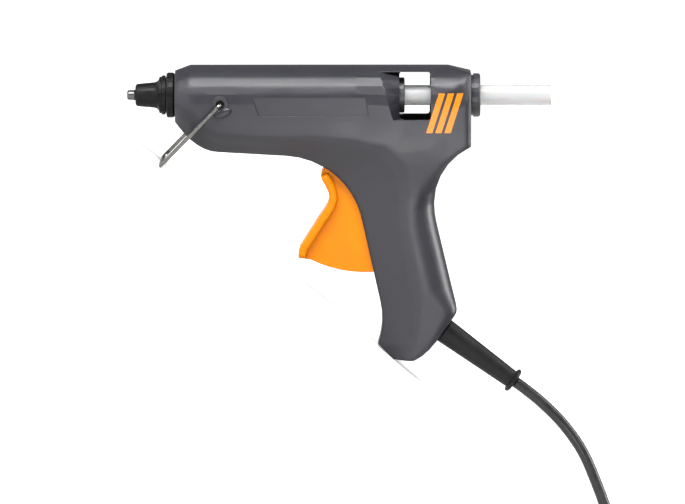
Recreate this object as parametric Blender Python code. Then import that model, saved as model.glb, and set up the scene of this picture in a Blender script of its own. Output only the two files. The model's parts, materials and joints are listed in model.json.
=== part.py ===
# Hot glue gun that stands on its own wire stand and heel, with its mains cord, in metres.
# Gun frame: x from the housing's front face to the rear, y across it, z up from the stick's axis.
# The gun is modelled level in that frame, and an empty tilts it onto the table.

import math

import bmesh
import bpy
import numpy as np
from mathutils import Matrix, Vector

# Clearances
GAP = 0.0003
PARTING_GAP = 0.0003
OVERRUN = 0.003
MERGE_DISTANCE = 0.000003

# Glue stick
STICK_DIAMETER = 0.011
STICK_LENGTH = 0.200
STICK_EDGE = 0.0004

# Housing outline
HOUSING_LENGTH = 0.1619
BARREL_WIDTH = 0.040
BARREL_TOP = 0.0167
WALL = 0.0022
SEAM_LAND = 0.0012
BAND_LENGTH = 0.0085
BAND_DROP = 0.0032
FRONT_DEPTH = 0.0142
NOSE_LENGTH = 0.024
NOSE_DROP = 0.0163
UNDERSIDE_SETBACK = 0.1249
UNDERSIDE_LENGTH = HOUSING_LENGTH - UNDERSIDE_SETBACK
UNDERSIDE_ANGLE = math.radians(3.2)
JUNCTION_RADIUS = 0.045
HANDLE_ANGLE = math.radians(77.4)
HANDLE_FRONT_LENGTH = 0.0465
FINGER_STOP_RADIUS = 0.045
FINGER_STOP_TURN = math.radians(30.6)
FOOT_DEPTH = 0.1451
FOOT_CHAMFER_ANGLE = math.radians(45)
FOOT_LENGTH = 0.0119
REAR_TOP_LENGTH = 0.0124
REAR_TOP_DROP = 0.0038
WAIST_SETBACK = 0.0198
WAIST_X = HOUSING_LENGTH - WAIST_SETBACK
WAIST_DEPTH = 0.059
NECK_RADIUS = 0.0363
WAIST_RADIUS = 0.050
HANDLE_REAR_ANGLE = math.radians(76.5)
HEEL_DEPTH = 0.1187
HEEL_RADIUS = 0.006
CORD_ANGLE = math.radians(36.2)
CORD_FACE_LENGTH = 0.0205
FOOT_CONTROL_LENGTH = 0.0085

# Where the rungs between the front and rear lines meet their landmarks
JUNCTION_TURNS = tuple(math.radians(turn) for turn in (30, 42, 46, 59))
TOP_SHARE = 0.44
WAIST_SHARE = 0.26
REAR_SHARE = 0.76
HEEL_STOP_SHARE = 0.72

# Housing section
HANDLE_WIDTH = 0.0312
HANDLE_WIDTH_DEPTH = 0.060
SHOULDER_DEPTH = 0.022
RIDGE_SOFTNESS = 0.002
FRONT_FLAT = 0.0164
BARREL_FLAT = 0.019
BAND_FLAT = 0.014
REAR_ROUNDING = 0.0028
HANDLE_ROUNDING = 0.0130
HEEL_ROUNDING = 0.0070

# Window for the stick, with its ramp
WINDOW_SETBACK = 0.0391
WINDOW_FRONT = HOUSING_LENGTH - WINDOW_SETBACK
WINDOW_LENGTH = 0.017
WINDOW_TOP = 0.0135
WINDOW_BOTTOM = 0.012
WINDOW_CORNER = 0.0016
RAMP_TOP_LENGTH = 0.011
RAMP_BOTTOM_LENGTH = 0.0036
RAMP_DEPTH = 0.005

# Bare label recess
LABEL_FRONT = 0.0425
LABEL_SETBACK = 0.0984
LABEL_LENGTH = HOUSING_LENGTH - LABEL_SETBACK
LABEL_TOP = 0.0002
LABEL_HEIGHT = 0.0100
LABEL_SLANT = 0.0036
LABEL_DEPTH = 0.0005

# Melting chamber and heater
TUBE_DIAMETER = 0.017
TUBE_REAR_SETBACK = 0.0839
TUBE_REAR = HOUSING_LENGTH - TUBE_REAR_SETBACK
NECK_DIAMETER = 0.011
NECK_LENGTH = 0.006
CHANNEL_DIAMETER = 0.004
CONE_LENGTH = 0.0045
STICK_STOP = 0.0058
BORE_CLEARANCE = 0.0003
POCKET_FRONT = 0.025
POCKET_SETBACK = 0.013
POCKET_LENGTH = TUBE_REAR - POCKET_FRONT - POCKET_SETBACK
POCKET_WIDTH = 0.015
POCKET_DEPTH = 0.0175
POCKET_WALL = 0.0023
HEATER_THICKNESS = 0.0034

# Nozzle and its silicone boot
NOZZLE_REACH = 0.0264
NOZZLE_TIP_DIAMETER = 0.0055
NOZZLE_TIP_LENGTH = 0.0046
NOZZLE_BODY_DIAMETER = 0.0092
NOZZLE_BORE_DIAMETER = 0.0018
NOZZLE_EDGE = 0.0010
NOZZLE_SHOULDER = 0.0030
NOZZLE_BEAD = 0.0003
BOOT_NOSE_DIAMETER = 0.0125
BOOT_NOSE_SHARE = 0.55
BOOT_NECK_DIAMETER = 0.0140
BOOT_NECK_X = 0.0118
BOOT_FLARE_X = 0.0086
BOOT_STEP_DIAMETER = 0.0217
BOOT_STEP_LENGTH = 0.0028
BOOT_GROOVE_DEPTH = 0.0010
BOOT_GROOVE_WIDTH = 0.0006
BOOT_FLANGE_DIAMETER = 0.0249
BOOT_FLANGE_LENGTH = 0.0044
BOOT_FLANGE_EDGE = 0.0007

# Inlet sleeve and rear collar
SLEEVE_REAR_SETBACK = 0.0699
SLEEVE_REAR = HOUSING_LENGTH - SLEEVE_REAR_SETBACK
SLEEVE_DIAMETER = 0.0156
SLEEVE_SOCKET_LENGTH = 0.006
SLEEVE_WALL = 0.0020
GUIDE_CLEARANCE = 0.0004
COLLAR_DIAMETER = 0.024
COLLAR_LENGTH = 0.0049
COLLAR_RING_LENGTH = 0.0012
COLLAR_RING_DEPTH = 0.0008
COLLAR_EDGE = 0.0011
COLLAR_SPIGOT_DIAMETER = 0.016
COLLAR_LIP = 0.0013

# Carriage with its fork and jaw
CARRIAGE_SETBACK = 0.0639
CARRIAGE_FRONT = HOUSING_LENGTH - CARRIAGE_SETBACK
CARRIAGE_REAR_SETBACK = 0.0362
CARRIAGE_REAR = HOUSING_LENGTH - CARRIAGE_REAR_SETBACK
CARRIAGE_DIAMETER = 0.0164
CARRIAGE_RING_DIAMETER = 0.0195
CARRIAGE_RING_LENGTH = 0.004
CARRIAGE_CLEARANCE = 0.0005
CARRIAGE_EDGE = 0.0005
FIN_INSET = 0.0006
FIN_LENGTH = 0.007
FIN_SPAN = 0.027
FIN_THICKNESS = 0.0032
FORK_INSET = 0.002
FORK_WIDTH = 0.0152
FORK_DEPTH = 0.0146
FORK_ROOT = 0.0066
FORK_SLOT_LENGTH = 0.0122
FORK_SLOT_TOP = 0.0086
ARM_CLEARANCE = 0.0004
JAW_SETBACK = 0.0472
JAW_FRONT = HOUSING_LENGTH - JAW_SETBACK
JAW_LENGTH = 0.0062
JAW_WIDTH = 0.006
JAW_BOTTOM = 0.0125
JAW_CLEARANCE = 0.0005
JAW_GAP = 0.0007
TOOTH_DEPTH = 0.0006
TOOTH_COUNT = 4
JAW_PIN_SETBACK = 0.0459
JAW_PIN_X = HOUSING_LENGTH - JAW_PIN_SETBACK
JAW_PIN_DEPTH = 0.0103
JAW_PIN_DIAMETER = 0.0025
JAW_PIN_LENGTH = 0.0146

# Trigger, its pins and its spring
PIVOT_SETBACK = 0.0579
PIVOT_X = HOUSING_LENGTH - PIVOT_SETBACK
PIVOT_DEPTH = 0.030
PIVOT_PIN_DIAMETER = 0.004
PIVOT_PIN_LENGTH = 0.026
TRIGGER_TRAVEL = math.radians(15)
TRIGGER_BOTTOM_RADIUS = 0.0672
TRIGGER_SHIELD = 0.0242
SHIELD_START = math.radians(184)
SLOT_START = math.radians(182)
SLOT_TURN = math.radians(216)
SLOT_END = math.radians(280)
TRIGGER_TIP_SETBACK = 0.0942
TRIGGER_TIP_X = HOUSING_LENGTH - TRIGGER_TIP_SETBACK
TRIGGER_TOP_DEPTH = 0.0389
TRIGGER_CURVE_WIDTH = 0.0171
TRIGGER_CURVE_HEIGHT = 0.0505
TRIGGER_FRONT_SHARES = (
    (0.807, 0.0),
    (0.713, 0.099),
    (0.889, 0.208),
    (1.0, 0.299),
    (1.0, 0.372),
    (0.889, 0.453),
    (0.678, 0.554),
    (0.409, 0.699),
    (0.199, 0.810),
    (0.035, 0.899),
    (0.0, 1.0),
)
WEB_WIDTH = 0.011
PAD_WIDTH = 0.0185
PAD_THICKNESS = 0.0046
PAD_TOP_DEPTH = 0.0415
PAD_CORNER = 0.0018
PAD_PROUD = 0.0004
PAD_EDGE = 0.0020
PAD_END_SHARE = 0.35
PAD_TIP_SHARE = 0.72
PAD_NEXT_SHARE = 0.92
WEB_INSET = 0.005
WEB_TURN = math.radians(59)
HUB_DIAMETER = 0.0104
DRIVE_PIN_DEPTH = 0.012
ARM_LENGTH = PIVOT_DEPTH - DRIVE_PIN_DEPTH
ARM_WIDTH = 0.008
ARM_THICKNESS = 0.0062
DRIVE_PIN_DIAMETER = 0.0035
DRIVE_PIN_LENGTH = 0.0144
SPRING_WIRE = 0.0008
SPRING_MEAN_DIAMETER = 0.0074
SPRING_PITCH = 0.00125
SPRING_TURNS = 2.25
SPRING_LEG = 0.011
SPRING_LEG_ANGLE = math.radians(20)
SPRING_HOOK = 0.0022
PEG_DIAMETER = 0.0026
PEG_SHARE = 0.77
PEG_FACE = 0.0046
SPRING_POCKET_DIAMETER = 0.0128
SPRING_FACE = 0.0020

# Bosses and ribs inside the shells
PIVOT_BOSS_DIAMETER = 0.0092
PIVOT_BOSS_FACE = 0.0063
RIB_THICKNESS = 0.002
FRONT_RIB_X = 0.0168
MIDDLE_RIB_SETBACK = 0.0944
MIDDLE_RIB_X = HOUSING_LENGTH - MIDDLE_RIB_SETBACK
SLEEVE_RIB_SETBACK = 0.0759
SLEEVE_RIB_X = HOUSING_LENGTH - SLEEVE_RIB_SETBACK
RIB_BOTTOM = 0.0108
RAIL_SETBACK = 0.0714
RAIL_FRONT = HOUSING_LENGTH - RAIL_SETBACK
RAIL_LENGTH = 0.0165
RAIL_FACE = 0.0102
RAIL_THICKNESS = 0.002

# Screws that close the shells
SCREW_SHANK_DIAMETER = 0.003
SCREW_HEAD_DIAMETER = 0.0058
SCREW_HEAD_LENGTH = 0.0022
SCREW_LENGTH = 0.015
SCREW_SEAT = 0.0068
SCREW_BOSS_DIAMETER = 0.0088
BOSS_SETBACK = 0.00012
SCREW_DIMPLE = 0.0008
SCREW_INSET_X = 0.0125
SCREW_INSET_DEPTH = 0.019
SCREW_BARREL_SETBACK = 0.0879
SCREW_BARREL_X = HOUSING_LENGTH - SCREW_BARREL_SETBACK
SCREW_BARREL_DEPTH = 0.027
SCREW_REAR_INSET = 0.0105
SCREW_REAR_DEPTH = 0.019
SCREW_TOP_HEIGHT = 0.0112
SCREW_HANDLE_SETBACK = 0.0259
SCREW_HANDLE_X = HOUSING_LENGTH - SCREW_HANDLE_SETBACK
SCREW_HANDLE_DEPTH = 0.076
SCREW_FOOT_INSET = 0.0013
SCREW_FOOT_RISE = 0.0121
SCREW_FOOT_DEPTH = FOOT_DEPTH - SCREW_FOOT_RISE

# Wire stand
STAND_WIRE = 0.0022
STAND_PIVOT_X = 0.0251
STAND_PIVOT_DEPTH = 0.0033
STAND_LENGTH = 0.0467
STAND_ANGLE = math.radians(45.6)
STAND_ASIDE = 0.0037
STAND_WIDTH = BARREL_WIDTH + 2 * STAND_ASIDE
STAND_BEND = 0.005
STAND_CRANK_INSET = 0.0056
STAND_CRANK_WIDTH = BARREL_WIDTH - 2 * STAND_CRANK_INSET
STAND_CRANK_LENGTH = 0.0045
CRANK_BEND = 0.0019
PIVOT_BEND = 0.0026
STAND_HOLE_DIAMETER = 0.0046
MOUTH_DEPTH = 0.0015
STAND_BOSS_DIAMETER = 0.0090
STAND_BOSS_INSET = 0.0036
STAND_BOSS_FACE = BARREL_WIDTH / 2 - STAND_BOSS_INSET
STAND_BOSS_RISE = 0.0006
STOP_LENGTH = 0.003
STOP_HEIGHT = 0.0042
STOP_FACE = 0.0126
LUG_LENGTH = 0.0104
LUG_HEIGHT = 0.0050
LUG_RISE = 0.0016
LUG_X = 0.0264
LUG_DEPTH = 0.0082
LUG_ANGLE = math.radians(22)

# Strain relief, clamp and terminal block
RELIEF_ROOT_DIAMETER = 0.0139
RELIEF_END_DIAMETER = 0.0102
RELIEF_LENGTH = 0.0492
RELIEF_FLANGE_DIAMETER = 0.0140
RELIEF_FLANGE_LENGTH = 0.0024
RELIEF_FLANGE_EDGE = 0.0009
RELIEF_NECK_DIAMETER = 0.0112
RELIEF_INNER_LENGTH = 0.003
RELIEF_LIP = 0.0013
RELIEF_HEEL_INSET = 0.0135
CORD_DIAMETER = 0.0062
CORD_CLEARANCE = 0.0003
TAIL_LENGTH = 0.0160
CLAMP_INSET = 0.0100
CLAMP_WIDTH = 0.005
CLAMP_SPAN = 0.0204
CLAMP_SCREW_SPACING = 0.0154
CLAMP_THICKNESS = 0.0017
CLAMP_FACE = 0.0014
CLAMP_BOSS_DIAMETER = 0.0056
CLAMP_SCREW_DIAMETER = 0.0024
CLAMP_SCREW_HEAD_DIAMETER = 0.0044
CLAMP_SCREW_HEAD_LENGTH = 0.0016
CLAMP_SCREW_LENGTH = 0.0075
TERMINAL_LENGTH = 0.011
TERMINAL_WIDTH = 0.014
TERMINAL_HEIGHT = 0.009
LEAD_DIAMETER = 0.0022
LEAD_SPACING = 0.0064
LEAD_ASIDE = 0.0105
LEAD_DEPTH = 0.019
LEAD_NECK_SETBACK = 0.0339
LEAD_NECK_X = HOUSING_LENGTH - LEAD_NECK_SETBACK
LEAD_TURN_DEPTH = 0.092
LEAD_RISE = 0.010
LEAD_SPREAD = 0.0045
LEAD_PIVOT_RISE = 0.0044

# Cord on the table, folded into a tied hank, and its plug
CORD_LENGTH = 1.2
CORD_REACH = 0.118
CORD_POINT_SPACING = 2
CORD_ROUTE_SHARES = (
    (0.16, -0.02, 0.0),
    (0.30, 0.03, 0.03),
    (0.45, 0.18, 0.18),
    (0.60, 0.47, 0.45),
    (0.75, 0.80, 0.75),
    (0.87, 0.97, 0.94),
)
HANK_FOLD = 0.0192
HANK_STEP = 0.0073
HANK_LAYER = 0.0069
HANK_WAIST = 0.012
HANK_RUN_SHARE = 0.32
TIE_LIFT = 0.0012
TIE_THICKNESS = 0.0008
TIE_CLEARANCE = 0.0003
TIE_SLACK = 0.0008
TIE_CORNER = 0.002
TIE_WIDTH = 0.005
PLUG_SETBACK = 0.048
PLUG_ASIDE = 0.014
PLUG_LENGTH = 0.036
PLUG_WIDTH = 0.0353
PLUG_HEIGHT = 0.0137
PLUG_SHARES = ((0.0, 0.30, 0.66), (0.12, 0.34, 0.72), (0.36, 0.62, 0.88), (0.62, 0.95, 1.0), (1.0, 1.0, 1.0))
PLUG_CORNER_SHARE = 0.3
PLUG_PIN_DIAMETER = 0.004
PLUG_PIN_LENGTH = 0.019
PLUG_PIN_SPACING = 0.0186

# Facets
SHARP_ANGLE = math.radians(35)
ROUND_SIDES = 28
SMALL_SIDES = 16
CROWN_STEPS = 6
CORNER_STEPS = 3
CURVE_STEPS = 2
ROUTE_STEPS = 6
QUARTER = math.pi / 2
SHIELD_STEPS = 6
NOSE_STEPS = 4
FLARE_STEPS = 4
PIN_STEPS = 3
GAP_STEP_SHARE = 0.125
GAP_NEAR_SHARE = 4.0
EDGE_STEPS = 3
RAMP_LAYERS = 7
UNDER_STEPS = 12
BOTTOM_STEPS = 8
ARM_STEPS = 8
ARCH_STEPS = 10
PAD_STATIONS = 12
LEAD_STEPS = 3
SPRING_LOOP_POINTS = 16
RUN_STEPS = 6
FOLD_STEPS = 6
HANK_ROUNDS = 6


def material(name, colour, roughness, metallic=0.0):
    made = bpy.data.materials.new(name)
    made.use_nodes = True
    shader = made.node_tree.nodes["Principled BSDF"]
    shader.inputs["Base Color"].default_value = (*colour, 1.0)
    shader.inputs["Roughness"].default_value = roughness
    shader.inputs["Metallic"].default_value = metallic
    return made


def clear_scene():
    for thing in list(bpy.data.objects):
        bpy.data.objects.remove(thing, do_unlink=True)


def place(name, mesh, parent, look=None):
    made = bpy.data.objects.new(name, mesh)
    bpy.context.collection.objects.link(made)
    made.parent = parent
    if look:
        made.data.materials.append(look)
    return made


def mesh_from(bm, name, smooth=True):
    bmesh.ops.recalc_face_normals(bm, faces=bm.faces)
    mesh = bpy.data.meshes.new(name)
    bm.to_mesh(mesh)
    bm.free()
    if smooth:
        mesh.shade_smooth()
        mesh.set_sharp_from_angle(angle=SHARP_ANGLE)
    return mesh


def turned(profile, sides=ROUND_SIDES):
    # A profile of (along, radius) points turned about x, closed through its bore if it has one.
    bm = bmesh.new()
    line = [bm.verts.new((along, 0.0, radius)) for along, radius in profile]
    edges = [bm.edges.new(pair) for pair in zip(line, line[1:])]
    if profile[0][1] > 0 and profile[-1][1] > 0:
        edges.append(bm.edges.new((line[-1], line[0])))
    bmesh.ops.spin(
        bm,
        geom=line + edges,
        cent=(0, 0, 0),
        axis=(1, 0, 0),
        angle=math.tau,
        steps=sides,
        use_merge=True,
    )
    bmesh.ops.remove_doubles(bm, verts=bm.verts, dist=MERGE_DISTANCE)
    return bm


def prism(outline, low, high):
    # An outline of (x, z) points drawn out along y.
    bm = bmesh.new()
    face = bm.faces.new([bm.verts.new((x, low, z)) for x, z in outline])
    drawn = bmesh.ops.extrude_face_region(bm, geom=[face])
    moved = [item for item in drawn["geom"] if isinstance(item, bmesh.types.BMVert)]
    bmesh.ops.translate(bm, verts=moved, vec=(0, high - low, 0))
    return bm


def box(x0, x1, y0, y1, z0, z1):
    return prism([(x0, z0), (x1, z0), (x1, z1), (x0, z1)], y0, y1)


def rod(x, z, radius, low, high, sides=SMALL_SIDES):
    # A cylinder along y round the point (x, z).
    ring = [
        (x + radius * math.cos(math.tau * i / sides), z + radius * math.sin(math.tau * i / sides))
        for i in range(sides)
    ]
    return prism(ring, low, high)


def bar(low, high, radius, sides=ROUND_SIDES):
    # A cylinder along x round the stick's axis.
    return turned([(low, 0), (low, radius), (high, radius), (high, 0)], sides)


def merged(*parts):
    whole = bmesh.new()
    for part in parts:
        held = bpy.data.meshes.new("part")
        part.to_mesh(held)
        part.free()
        whole.from_mesh(held)
        bpy.data.meshes.remove(held)
    return whole


def moved(bm, matrix):
    bmesh.ops.transform(bm, matrix=matrix, verts=bm.verts)
    return bm


def helper(name, bm, parent):
    guide = place(name, mesh_from(bm, name, smooth=False), parent)
    guide.hide_render = True
    guide.display_type = "WIRE"
    return guide


def boolean(target, operation, guide):
    step = target.modifiers.new(guide.name, "BOOLEAN")
    step.operation = operation
    step.solver = "EXACT"
    step.object = guide


def fuse(target, guide):
    boolean(target, "UNION", guide)


def cut(target, guide):
    boolean(target, "DIFFERENCE", guide)


def polar(centre, radius, angle):
    return (centre[0] + radius * math.cos(angle), centre[1] + radius * math.sin(angle))


def arc_points(centre, radius, start, end, steps):
    # Points along an arc from the start angle to the end angle.
    return [polar(centre, radius, start + (end - start) * i / steps) for i in range(steps + 1)]


def toward(point, length, angle):
    return polar(point, length, angle)


def mix(a, b, share):
    return tuple(p + (q - p) * share for p, q in zip(a, b))


def smooth_curve(points, steps):
    # Points along a Catmull-Rom curve through the given ones.
    knots = [Vector(p) for p in points]
    knots = [2 * knots[0] - knots[1], *knots, 2 * knots[-1] - knots[-2]]
    line = []
    for a, b, c, d in zip(knots, knots[1:], knots[2:], knots[3:]):
        for i in range(steps):
            t = i / steps
            line.append(
                (2 * b + (c - a) * t + (2 * a - 5 * b + 4 * c - d) * t**2 + (3 * b - a - 3 * c + d) * t**3)
                / 2
            )
    return [*line, knots[-2]]


# Housing outline: a front line F from the nose along the underside and down the handle's front,
# and a rear line R along the top and down the handle's rear. Angles are of travel, downwards.
class Outline:
    def __init__(self):
        self.front_low = (0.0, -FRONT_DEPTH)
        self.front_high = (0.0, BARREL_TOP - BAND_DROP)
        self.nose_end = (NOSE_LENGTH, -FRONT_DEPTH - NOSE_DROP)
        self.junction_start = toward(self.nose_end, UNDERSIDE_LENGTH, -UNDERSIDE_ANGLE)
        self.junction = toward(self.junction_start, JUNCTION_RADIUS, -math.pi / 2 - UNDERSIDE_ANGLE)
        self.handle_start = self.on_junction(HANDLE_ANGLE)
        self.stop_start = toward(self.handle_start, HANDLE_FRONT_LENGTH, -HANDLE_ANGLE)
        self.stop = toward(self.stop_start, FINGER_STOP_RADIUS, -math.pi / 2 - HANDLE_ANGLE)
        self.stop_end = self.on_stop(FINGER_STOP_TURN)
        fall = FOOT_DEPTH + self.stop_end[1]
        self.foot_front = (self.stop_end[0] + fall / math.tan(FOOT_CHAMFER_ANGLE), -FOOT_DEPTH)
        self.foot_rear = (self.foot_front[0] + FOOT_LENGTH, -FOOT_DEPTH)
        self.top_end = (HOUSING_LENGTH - REAR_TOP_LENGTH, BARREL_TOP)
        self.rear_top = (HOUSING_LENGTH, BARREL_TOP - REAR_TOP_DROP)
        self.waist = (WAIST_X, -WAIST_DEPTH)
        self.neck = (WAIST_X + NECK_RADIUS, -WAIST_DEPTH)
        self.neck_turn = math.acos((self.neck[0] - HOUSING_LENGTH) / NECK_RADIUS)
        self.rear_low = self.on_neck(self.neck_turn)
        self.waist_turn = math.pi / 2 - HANDLE_REAR_ANGLE
        self.handle_rear_start = self.on_waist(self.waist_turn)
        rear_fall = HEEL_DEPTH + self.handle_rear_start[1]
        self.heel = toward(
            self.handle_rear_start, rear_fall / math.sin(HANDLE_REAR_ANGLE), -HANDLE_REAR_ANGLE
        )
        self.face_angle = -math.pi / 2 - CORD_ANGLE
        self.heel_turn = math.pi / 2 - HANDLE_REAR_ANGLE + CORD_ANGLE
        self.heel_start = toward(self.heel, -HEEL_RADIUS * math.tan(self.heel_turn / 2), -HANDLE_REAR_ANGLE)
        self.heel_centre = toward(self.heel_start, HEEL_RADIUS, -math.pi / 2 - HANDLE_REAR_ANGLE)
        self.heel_end = self.on_heel(1.0)
        self.face_end = toward(self.heel, CORD_FACE_LENGTH, self.face_angle)
        self.foot_control = toward(self.face_end, FOOT_CONTROL_LENGTH, self.face_angle)

    def nose(self, x):
        return (x, -FRONT_DEPTH - NOSE_DROP * (1 - (1 - x / NOSE_LENGTH) ** 2))

    def on_junction(self, angle):
        return polar(self.junction, JUNCTION_RADIUS, math.pi / 2 - angle)

    def on_stop(self, turn):
        return polar(self.stop, FINGER_STOP_RADIUS, math.pi / 2 - HANDLE_ANGLE - turn)

    def on_neck(self, turn):
        return polar(self.neck, NECK_RADIUS, math.pi - turn)

    def on_waist(self, turn):
        return polar((WAIST_X + WAIST_RADIUS, -WAIST_DEPTH), WAIST_RADIUS, math.pi + turn)

    def on_heel(self, share):
        return polar(self.heel_centre, HEEL_RADIUS, math.pi / 2 - HANDLE_REAR_ANGLE - self.heel_turn * share)

    def foot_curve(self, share):
        a = mix(self.face_end, self.foot_control, share)
        return mix(a, mix(self.foot_control, self.foot_rear, share), share)

    def top(self, x):
        drop = BAND_DROP * max(0.0, 1 - x / BAND_LENGTH)
        return (x, BARREL_TOP - drop)

    def rear_line(self, share):
        return mix(self.handle_rear_start, self.heel_start, share)

    def spans(self):
        # Each span gives the front line, the rear line and its number of rungs.
        start_top = self.top(self.junction_start[0])
        over_junction = mix(start_top, self.top_end, TOP_SHARE)
        j1, j2, j3, j4 = JUNCTION_TURNS

        def arc(a, b):
            return lambda s: self.on_junction(a + (b - a) * s)

        def handle(a, b):
            return lambda s: mix(self.handle_start, self.stop_start, a + (b - a) * s)

        def rear(a, b):
            return lambda s: self.rear_line(a + (b - a) * s)

        def stop(a, b):
            return lambda s: self.on_stop(FINGER_STOP_TURN * (a + (b - a) * s))

        return [
            (lambda s: self.nose(BAND_LENGTH * s), lambda s: self.top(BAND_LENGTH * s), 2),
            (
                lambda s: self.nose(BAND_LENGTH + (NOSE_LENGTH - BAND_LENGTH) * s),
                lambda s: self.top(BAND_LENGTH + (NOSE_LENGTH - BAND_LENGTH) * s),
                4,
            ),
            (
                lambda s: mix(self.nose_end, self.junction_start, s),
                lambda s: mix(self.top(NOSE_LENGTH), start_top, s),
                2,
            ),
            (arc(UNDERSIDE_ANGLE, j1), lambda s: mix(start_top, over_junction, s), 3),
            (arc(j1, j2), lambda s: mix(over_junction, self.top_end, s), 3),
            (arc(j2, j3), lambda s: mix(self.top_end, self.rear_top, s), 1),
            (arc(j3, j4), lambda s: mix(self.rear_top, self.rear_low, s), 3),
            (arc(j4, HANDLE_ANGLE), lambda s: self.on_neck(self.neck_turn * (1 - s)), 5),
            (handle(0.0, WAIST_SHARE), lambda s: self.on_waist(self.waist_turn * s), 2),
            (handle(WAIST_SHARE, 1.0), rear(0.0, REAR_SHARE), 3),
            (stop(0.0, 0.5), rear(REAR_SHARE, 1.0), 2),
            (stop(0.5, HEEL_STOP_SHARE), self.on_heel, 3),
            (stop(HEEL_STOP_SHARE, 1.0), lambda s: mix(self.heel_end, self.face_end, s), 2),
            (lambda s: mix(self.stop_end, self.foot_front, s), self.foot_curve, 3),
        ]


OUTLINE = Outline()

# At each end of a span: depth of the ridge along the rung, width of the flat at the front line,
# depth of the crown at the rear line, and how far that line is rounded in depth and in width.
NOSE_RIDGES = (0.0135, 0.0172, 0.0110, 0.0104)
JUNCTION_RIDGES = (0.0165, 0.0245, 0.0285, 0.0300)
HANDLE_RIDGES = (0.0240, 0.0215, 0.0212, 0.0200, 0.0192, 0.0185, 0.0075)
RIDGES = (*NOSE_RIDGES, *JUNCTION_RIDGES, *HANDLE_RIDGES)
FLATS = (BAND_FLAT, *[BARREL_FLAT] * 4, *[FRONT_FLAT] * 10)
NOSE_CROWNS = (0.0168, 0.0200, 0.0200, 0.0200)
JUNCTION_CROWNS = (0.0208, 0.0284, 0.0254, 0.0180)
HANDLE_CROWNS = (0.0132, 0.0132, 0.0132, 0.0080, 0.0065, 0.0050, 0.0030)
CROWNS = (*NOSE_CROWNS, *JUNCTION_CROWNS, *HANDLE_CROWNS)
ROUNDINGS = (
    *[0.0] * 6,
    *[REAR_ROUNDING] * 2,
    *[HANDLE_ROUNDING] * 3,
    *[HEEL_ROUNDING] * 2,
    *[REAR_ROUNDING] * 2,
)


def eased(values, span, share):
    # A value between two ends of a span, on a Catmull-Rom curve through all the ends.
    a = values[max(span - 1, 0)]
    b, c = values[span], values[span + 1]
    d = values[min(span + 2, len(values) - 1)]
    t = share
    value = (2 * b + (c - a) * t + (2 * a - 5 * b + 4 * c - d) * t**2 + (3 * b - a - 3 * c + d) * t**3) / 2
    return min(max(value, min(b, c)), max(b, c)) if abs(c - b) < GAP else value


def soft_min(a, b, softness):
    return min(a, b) - max(softness - abs(a - b), 0.0) ** 2 / (4 * softness)


def side_half_width(z):
    # Half the width of the flat sides: the barrel's, easing into the handle's below the shoulder.
    share = min(max((-z - SHOULDER_DEPTH) / (HANDLE_WIDTH_DEPTH - SHOULDER_DEPTH), 0.0), 1.0)
    share = share * share * (3 - 2 * share)
    return (BARREL_WIDTH + (HANDLE_WIDTH - BARREL_WIDTH) * share) / 2


def half_width(x, z, depth, back, form, inset):
    # Half width at a point: depth is its distance from the front line and back from the rear line.
    ridge, flat, rounding = form
    side = side_half_width(z)
    slope = (side - flat / 2) / ridge
    chamfer = flat / 2 + slope * depth - inset * math.hypot(1, slope)
    width = soft_min(side - inset, chamfer, RIDGE_SOFTNESS)
    band = BAND_DROP * max(0.0, 1 - (x - inset) / BAND_LENGTH)
    radius = BARREL_WIDTH / 2 - band - inset
    height = z - (BARREL_TOP - BARREL_WIDTH / 2)
    crown = math.sqrt(max(radius**2 - max(height, 0.0) ** 2, 0.0))
    width = min(width, crown)
    reach = rounding - inset
    if reach > GAP and back < rounding:
        across = min(rounding, side - SEAM_LAND)
        share = min((rounding - back) / reach, 1.0)
        width = min(width, side - across + (across - inset) * math.sqrt(1 - share**2))
    return max(width, SEAM_LAND)


def rungs():
    made = []
    spans = OUTLINE.spans()
    for number, (front, rear, count) in enumerate(spans):
        last = number == len(spans) - 1
        for i in range(count + last):
            share = i / count
            made.append(
                (
                    front(share),
                    rear(share),
                    eased(RIDGES, number, share),
                    eased(FLATS, number, share),
                    eased(CROWNS, number, share),
                    eased(ROUNDINGS, number, share),
                )
            )
    return made


def offset_loop(points, inset):
    # A closed loop moved inwards, with mitred corners.
    loop = np.array(points)
    ahead = np.roll(loop, -1, axis=0) - loop
    ahead /= np.linalg.norm(ahead, axis=1)[:, None]
    normal = np.stack([-ahead[:, 1], ahead[:, 0]], axis=1)
    before = np.roll(normal, 1, axis=0)
    bisector = normal + before
    scale = 1 + (normal * before).sum(axis=1)
    return loop + inset * bisector / scale[:, None]


# Shares of a rung's lower part, up to the ridge, of its side and of its crown.
LOWER_SHARES = (0.0, 0.5, 0.88, 1.12)
LIMIT_SHARES = (0.6, 0.7, 0.8, 0.9)
SIDE_SHARES = (0.55, 1.0)
CROWN_SHARES = tuple(math.sin(math.pi / 2 * (i + 1) / CROWN_STEPS) for i in range(CROWN_STEPS))


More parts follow.
